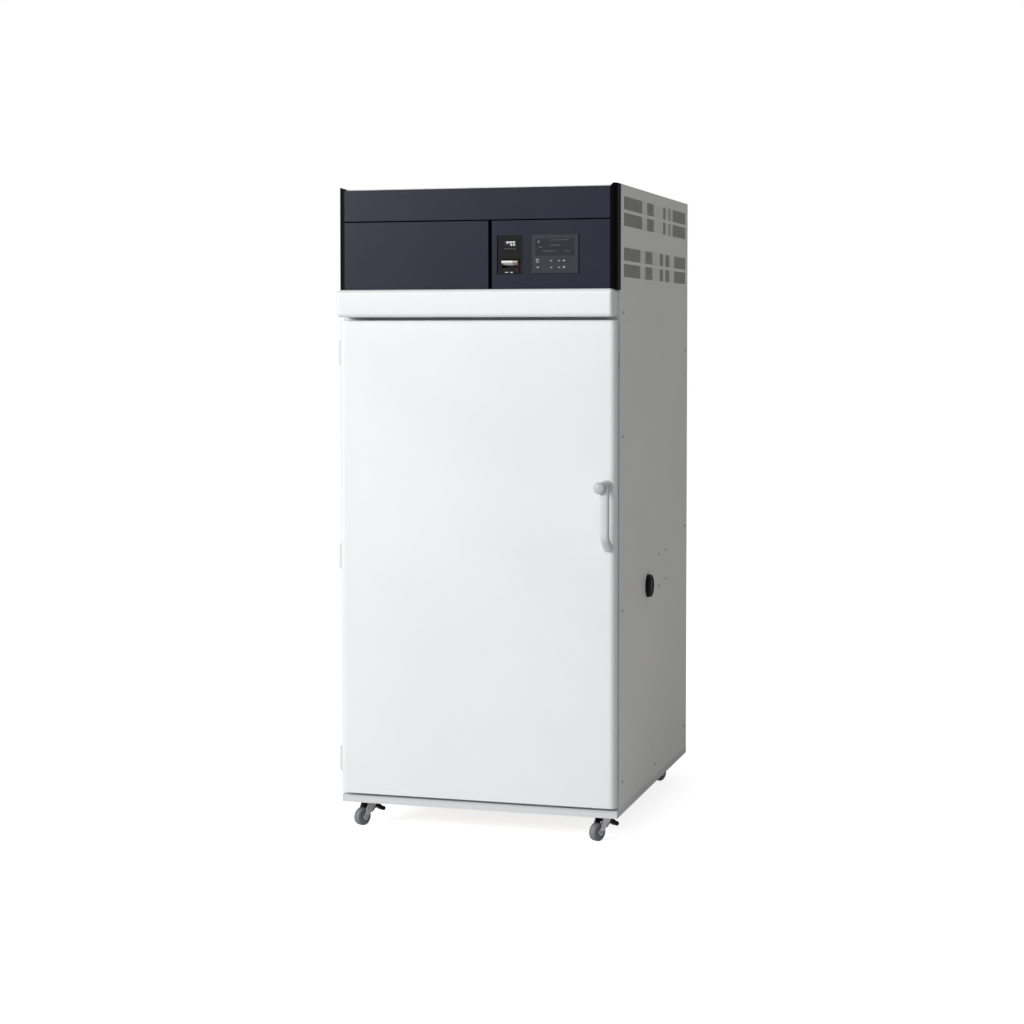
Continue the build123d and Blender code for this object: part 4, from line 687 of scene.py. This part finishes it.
def lever_part(name, x0, x1, material):
    """One length of the breaker's lever: a barrel with a blade that leans up towards the front."""
    run_y, run_z = -math.cos(lever_lean), math.sin(lever_lean)
    up_y, up_z = math.sin(lever_lean), math.cos(lever_lean)
    tip = []
    for i in range(13):
        turn = math.radians(-90 + 180 * i / 12)
        along = blade_length + blade_tip_radius * math.cos(turn)
        across = blade_tip_radius * math.sin(turn)
        tip.append((lever_y + run_y * along + up_y * across, lever_z + run_z * along + up_z * across))
    ring = []
    for i in range(21):
        turn = math.radians(130 - 260 * i / 20)
        along = -lever_radius * math.cos(turn)
        across = lever_radius * math.sin(turn)
        ring.append((lever_y + run_y * along + up_y * across, lever_z + run_z * along + up_z * across))
    bm = bmesh.new()
    add_prism(bm, tip + ring, x0, x1, right_frame_at(0, 0, 0))
    return piece(name, bm, material, "toggle", bevel=0.0005, segments=3)


lever_margin = 0.002
lever_left = toggle_low.x + lever_margin
lever_right = toggle_high.x - lever_margin
lever_split = lever_left + 0.68 * (lever_right - lever_left)
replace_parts(lever_part("lever_white", lever_left, lever_split, toggle_plastic), "breaker_toggle")
lever_part("lever_blush", lever_split, lever_right, toggle_blush)

# Control unit: a dark glass over the display, thin printed lines, marks on the keys
bezel_front = unit_low.y
glass_x = unit_low.x + (unit_high.x - unit_low.x) / 2
glass_z = unit_high.z - 0.035
glass_back, glass_front = bezel_front + 0.0014, bezel_front + 0.0006
tile("display_glass", glass_x, glass_z, 0.1076, 0.0456, glass_back, glass_front, screen_glass, corner=0.0015)
# Each line: distance from the unit's left edge and from its top, width, height
display_lines = (
    (0.078, 0.016, 0.052, 0.0010),
    (0.020, 0.020, 0.006, 0.006),
    (0.066, 0.030, 0.030, 0.0012),
    (0.026, 0.035, 0.012, 0.0014),
    (0.050, 0.046, 0.040, 0.0012),
    (0.100, 0.046, 0.016, 0.0012),
)
line_back, line_front = bezel_front + 0.0007, bezel_front + 0.0004
for number, (x, drop, width, height) in enumerate(display_lines):
    name = "display_line_%d" % number
    tile(name, unit_low.x + x, unit_high.z - drop, width, height, line_back, line_front, faint_ink)
power_low, power_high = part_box("power_key")
run_low, run_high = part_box("run_key")
up_low, up_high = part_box("up_key")
down_low, down_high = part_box("down_key")
print_depth = 0.0001


def key_mark(name, low, high, body, width, height):
    """A small pale mark printed on a key."""
    x, z = (low.x + high.x) / 2, (low.z + high.z) / 2
    tile(name, x, z, width, height, low.y + print_depth, low.y - print_depth, mark_ink, body)


key_mark("run_mark", run_low, run_high, "run_key", 0.0060, 0.0016)
key_mark("up_mark", up_low, up_high, "up_key", 0.0040, 0.0030)
key_mark("down_mark", down_low, down_high, "down_key", 0.0040, 0.0030)
crescent = arc(0.0, 0.0, 0.0046, 30, 300, 24) + arc(0.0, 0.0, 0.0036, 330, -300, 24)
power_x, power_z = (power_low.x + power_high.x) / 2, (power_low.z + power_high.z) / 2
bm = bmesh.new()
add_prism(bm, crescent, -print_depth, print_depth, front_frame_at(power_x, power_low.y, power_z))
piece("power_mark", bm, mark_ink, "power_key")
pad_back, pad_front = bezel_front + 0.0014, bezel_front - 0.0004
pad_mark_back, pad_mark_front = bezel_front - 0.0003, bezel_front - 0.0005
for number in range(2):
    x = unit_low.x + 0.052 + number * 0.022 + 0.004
    for row, z in enumerate((unit_high.z - 0.0725, unit_high.z - 0.0905)):
        name = "pad_key_%d_%d" % (number, row)
        tile(name, x, z, 0.0125, 0.0075, pad_back, pad_front, key_plastic, corner=0.0014)
        name = "pad_mark_%d_%d" % (number, row)
        tile(name, x, z, 0.0040, 0.0014, pad_mark_back, pad_mark_front, mark_ink)

# Cable port: a plug with a rolled rim, a dished face and a moulded pull bar
sleeve_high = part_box("port_sleeve")[1]
plug_low, plug_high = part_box("port_plug")
port_y = (plug_low.y + plug_high.y) / 2
port_z = (plug_low.z + plug_high.z) / 2
plug_frame = right_frame_at(sleeve_high.x, port_y, port_z)
head = plug_high.x - sleeve_high.x
rim = (plug_high.y - plug_low.y) / 2
profile = [(0.0, -0.060), (0.0240, -0.060), (0.0245, -0.0585), (0.0245, 0.0)]
profile += [(rim - 0.0008, 0.0002), (rim, 0.0012), (rim, head - 0.0040), (rim - 0.0010, head - 0.0012)]
profile += [(rim - 0.0035, head), (rim - 0.0065, head - 0.0008), (rim - 0.0080, head - 0.0030)]
profile += [(0.0060, head - 0.0036), (0.0, head - 0.0036)]
bm = bmesh.new()
add_turned(bm, profile, plug_frame, 72)
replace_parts(piece("plug_body", bm, black_plastic, "port_plug"), "port_plug")
bm = bmesh.new()
add_prism(bm, rounded_outline(0.0110, 0.0400, 0.0052, 6), 0.0, head - 0.0012, plug_frame)
piece("plug_pull_bar", bm, unit_plastic, "port_plug", bevel=0.0008)

# Castors: a pressed crown over the wheel, two tapered legs, an axle bolt, a moulded wheel and a toe pedal.
# The heading is the way in which the wheels trail behind their swivels.
heading = math.radians(-117.0)
along_x, along_y = math.cos(heading), math.sin(heading)
axis_x, axis_y = along_y, -along_x
mounts_low, mounts_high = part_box("caster_mounts")
mount_half = 0.030
caster_x = mounts_high.x - mount_half
caster_ys = {"front": mounts_low.y + mount_half, "rear": mounts_high.y - mount_half}
trail, wheel_radius, wheel_half = 0.026, 0.025, 0.011
crown_profile = [(0.0, -0.0080), (0.0165, -0.0080), (0.0200, -0.0060), (0.0208, -0.0030)]
crown_profile += [(0.0205, -0.0010), (0.0190, 0.0), (0.0, 0.0)]
tread = [(0.0042, -wheel_half), (0.0085, -wheel_half), (0.0095, -wheel_half + 0.0018)]
tread += [(0.0185, -wheel_half + 0.0018), (0.0200, -wheel_half + 0.0004), (0.0225, -wheel_half + 0.0006)]
tread += [(0.0243, -wheel_half + 0.0022), (wheel_radius, -wheel_half + 0.0050)]
tread += [(r, -h) for r, h in reversed(tread)]
tread.append(tread[0])
bolt_end = wheel_half + 0.0062
bolt_profile = [(0.0, -bolt_end), (0.0042, -bolt_end), (0.0048, -bolt_end + 0.0006)]
bolt_profile += [(0.0048, -bolt_end + 0.0017), (0.0038, -bolt_end + 0.0018)]
bolt_profile += [(r, -h) for r, h in reversed(bolt_profile)]
axle_boss_radius = 0.0085
leg_gap, leg_depth = 0.0015, 0.0030
toe_radius = 0.0062


def caster_frame(x, y, reach, height):
    """A frame on a castor's wheel axis: first axis along the trail, second axis up, third along the axle."""
    return Matrix((
        (along_x, 0, axis_x, x + along_x * reach),
        (along_y, 0, axis_y, y + along_y * reach),
        (0, 1, 0, height),
        (0, 0, 0, 1),
    ))


for corner in ("front_left", "front_right", "rear_left", "rear_right"):
    row, side = corner.split("_")
    x = caster_x if side == "right" else -caster_x
    y = caster_ys[row]
    crown_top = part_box("caster_fork_" + corner)[1].z
    fork_body, wheel_body = "fork_" + corner, "wheel_" + corner
    # The crown is dark: painted shade under the base
    bm = bmesh.new()
    add_turned(bm, crown_profile, up_frame_at(x, y, crown_top), 48)
    crown_piece = piece("crown_" + corner, bm, dark_steel_and_painted_shade, fork_body)
    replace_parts(crown_piece, "caster_fork_" + corner)
    wheel_frame = caster_frame(x, y, trail, wheel_radius)
    top = crown_top - wheel_radius - 0.0040
    leg_outline = [(-trail - 0.0135, top), (-trail + 0.0140, top)]
    leg_outline += arc(0.0, 0.0, axle_boss_radius, 60, -240, 12)
    leg_outline.append((-trail - 0.0135, top - 0.0150))
    for sign in (-1, 1):
        inner = sign * (wheel_half + leg_gap)
        outer = sign * (wheel_half + leg_gap + leg_depth)
        bm = bmesh.new()
        add_prism(bm, leg_outline, min(inner, outer), max(inner, outer), wheel_frame)
        piece("fork_leg_%s_%d" % (corner, sign), bm, caster_plating, fork_body, bevel=0.0008)
    bm = bmesh.new()
    add_turned(bm, bolt_profile, wheel_frame, 24)
    piece("axle_bolt_" + corner, bm, screw_plating, fork_body)
    bm = bmesh.new()
    add_turned(bm, tread, wheel_frame, 64)
    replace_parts(piece("tyre_" + corner, bm, wheel_rubber, wheel_body), "caster_wheel_" + corner)
    if row == "front":
        pivot_z = crown_top - 0.0150
        outline = [(0.001, pivot_z - 0.021), (-0.0110, pivot_z + 0.0048), (-0.0240, pivot_z + 0.0030)]
        outline += arc(-0.0495, pivot_z - 0.0200, toe_radius, 75, 200, 14)
        outline += [(-0.0210, pivot_z - 0.0095), (-0.0040, pivot_z - 0.0235)]
        bm = bmesh.new()
        add_prism(bm, outline, -wheel_half, wheel_half, caster_frame(x, y, 0.0, 0.0))
        pedal = piece("pedal_" + corner, bm, black_plastic, "pedal_" + corner, bevel=0.0018)
        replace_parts(pedal, "brake_pedal_" + corner)

# Screws: pan heads with a dark cross that paints the shade of the cross recess, on the case sides, round the
# port and on the back


def screw(name, matrix):
    """A pan head with a dark cross laid into it, which paints the shade of the cross recess."""
    radius = 0.0042
    dome_steps = 6
    profile = [(radius, -0.0002), (radius, 0.0006)]
    for i in range(1, dome_steps + 1):
        turn = math.radians(78 * i / dome_steps)
        reach = radius * math.cos(turn) if i < dome_steps else radius * 0.62
        profile.append((reach, 0.0006 + 0.0011 * math.sin(turn)))
    profile.append((0.0, 0.0016))
    bm = bmesh.new()
    add_turned(bm, profile, matrix, 28)
    piece(name, bm, screw_plating, "cabinet")
    arm, thin = radius * 0.56, radius * 0.15
    cross = [(-thin, -arm), (thin, -arm), (thin, -thin), (arm, -thin), (arm, thin), (thin, thin)]
    cross += [(-x, -y) for x, y in cross]
    bm = bmesh.new()
    add_prism(bm, cross, 0.0012, 0.00172, matrix)
    piece(name + "_recess_shade", bm, dark_steel_and_painted_shade, "cabinet")


seat_depth = 0.0001
side_x = side_high.x - seat_depth
side_places = [(-0.43, 1.12), (-0.43, 0.64), (-0.43, 0.165), (0.435, 0.165), (0.435, 0.8), (0.435, 1.35)]
side_places += [(-0.43, 1.46), (0.0, 0.13)]
port_places = [(0.05, 0.748), (0.147, 0.752), (0.05, 0.655), (0.147, 0.665)]
for number, (y, z) in enumerate(side_places + port_places):
    screw("side_screw_%d" % number, right_frame_at(side_x, y, z))
for number, (y, z) in enumerate(side_places):
    screw("left_screw_%d" % number, left_frame_at(-side_x, y, z))
back_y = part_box("instrument_tray")[1].y - seat_depth
rear_places = [(x, z) for x in (-0.37, 0.0, 0.37) for z in (0.13, 0.60, 1.05, 1.48)]
box_places = [(x, z) for x in (-0.385, -0.05, 0.385) for z in (1.545, 1.765)]
for number, (x, z) in enumerate(rear_places):
    screw("rear_screw_%d" % number, back_frame_at(x, back_y, z))
for number, (x, z) in enumerate(box_places, len(rear_places)):
    screw("box_screw_%d" % number, back_frame_at(x, back_y, z))

# Finishes of the CAD pieces that stay
looks = {
    "base_frame": base_paint,
    "front_frame": case_paint,
    "left_side_panel": case_paint,
    "right_side_panel": case_paint,
    "rear_panel": case_paint,
    "top_cover": case_paint,
    "fascia_posts": post_plastic,
    "fascia_backplate": post_plastic,
    "switch_plate": black_plastic,
    "switch_modules": black_plastic,
    "control_unit": unit_plastic,
    "instrument_tray": zinc_sheet,
    "control_electronics": board_lacquer,
    "chamber_liner": stainless,
    "rear_diffuser": stainless,
    "return_plate": stainless,
    "shelf_supports": stainless,
    "shelves": stainless,
    "door_inner_panel": stainless,
    "hinge_cabinet_leaves": hinge_paint,
    "hinge_door_leaves": hinge_paint,
    "door_keepers": screw_plating,
    "heater_rods": dark_steel_and_painted_shade,
    "exhaust_duct": stainless,
    "exhaust_damper": stainless,
    "fan_impeller": zinc_sheet,
    "fan_motor": motor_paint,
    "air_filter": filter_paper,
    "wall_insulation": mineral_wool,
    "door_gasket": silicone,
    "cable_gland": black_plastic,
    "port_sleeve": black_plastic,
    # castor mount plates: dark plating that paints the shade under the base
    "caster_mounts": dark_steel_and_painted_shade,
    "test_button": red_plastic,
    "power_key": key_plastic,
    "run_key": key_plastic,
    "up_key": key_plastic,
    "down_key": key_plastic,
}
for node, material in looks.items():
    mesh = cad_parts[node].data
    mesh.materials.clear()
    mesh.materials.append(material)

# Floor, surroundings, lamps and camera: floor and surroundings look white to the camera only
bm = bmesh.new()
bmesh.ops.create_grid(bm, x_segments=1, y_segments=1, size=12.0)
floor_mesh = bpy.data.meshes.new("floor")
bm.to_mesh(floor_mesh)
bm.free()
floor = bpy.data.objects.new("floor", floor_mesh)
bpy.context.scene.collection.objects.link(floor)
floor_material, floor_shader = new_material("floor_white")
tint(floor_material, floor_shader, noise(floor_material, 1.5, 3.0), (0.80, 0.80, 0.80), (0.82, 0.82, 0.82))
floor_shader.inputs["Roughness"].default_value = 0.9
floor_nodes, floor_links = floor_material.node_tree.nodes, floor_material.node_tree.links
floor_glow = floor_nodes.new("ShaderNodeEmission")
floor_glow.inputs["Color"].default_value = (1.0, 1.0, 1.0, 1.0)
floor_glow.inputs["Strength"].default_value = 0.79
floor_paths = floor_nodes.new("ShaderNodeLightPath")
floor_dark = floor_nodes.new("ShaderNodeEmission")
floor_dark.inputs["Strength"].default_value = 0.0
floor_pick = floor_nodes.new("ShaderNodeMixShader")
floor_sum = floor_nodes.new("ShaderNodeAddShader")
floor_output = next(n for n in floor_nodes if n.type == "OUTPUT_MATERIAL")
floor_links.new(floor_paths.outputs["Is Camera Ray"], floor_pick.inputs["Fac"])
floor_links.new(floor_dark.outputs["Emission"], floor_pick.inputs[1])
floor_links.new(floor_glow.outputs["Emission"], floor_pick.inputs[2])
floor_links.new(floor_shader.outputs["BSDF"], floor_sum.inputs[0])
floor_links.new(floor_pick.outputs["Shader"], floor_sum.inputs[1])
floor_links.new(floor_sum.outputs["Shader"], floor_output.inputs["Surface"])
floor_mesh.materials.append(floor_material)

world = bpy.data.worlds.new("studio")
bpy.context.scene.world = world
world.use_nodes = True
world_nodes, world_links = world.node_tree.nodes, world.node_tree.links
world_nodes.clear()
world_output = world_nodes.new("ShaderNodeOutputWorld")
ambient = world_nodes.new("ShaderNodeBackground")
ambient.inputs["Color"].default_value = (1.0, 1.0, 1.0, 1.0)
ambient.inputs["Strength"].default_value = 0.29
seen = world_nodes.new("ShaderNodeBackground")
seen.inputs["Color"].default_value = (1.0, 1.0, 1.0, 1.0)
seen.inputs["Strength"].default_value = 1.0
paths = world_nodes.new("ShaderNodeLightPath")
mix = world_nodes.new("ShaderNodeMixShader")
world_links.new(paths.outputs["Is Camera Ray"], mix.inputs["Fac"])
world_links.new(ambient.outputs["Background"], mix.inputs[1])
world_links.new(seen.outputs["Background"], mix.inputs[2])
world_links.new(mix.outputs["Shader"], world_output.inputs["Surface"])


def lamp(name, place, target, size, power):
    """A large soft area lamp aimed at a point."""
    data = bpy.data.lights.new(name, "AREA")
    data.shape = "SQUARE"
    data.size = size
    data.energy = power
    obj = bpy.data.objects.new(name, data)
    obj.location = place
    obj.rotation_euler = (Vector(target) - Vector(place)).to_track_quat("-Z", "Y").to_euler()
    bpy.context.scene.collection.objects.link(obj)


lamp_target = (0.0, -0.4, 0.9)
lamp("key_light", (-6.0, -7.5, 4.2), lamp_target, 4.0, 655.0)
lamp("fill_light", (-1.0, -9.0, 5.5), lamp_target, 3.0, 130.0)

camera_data = bpy.data.cameras.new("camera")
camera = bpy.data.objects.new("camera", camera_data)
bpy.context.scene.collection.objects.link(camera)
camera_data.sensor_width = 36.0
camera_data.lens = 73.647
camera_data.shift_y = -0.09
camera_data.clip_end = 60.0
camera.location = (1.6926, -6.0339, 1.3944)
camera.rotation_euler = (math.radians(90.0 - 2.277), 0.0, math.radians(16.018))
bpy.context.scene.camera = camera
bpy.context.scene.view_settings.view_transform = "Standard"
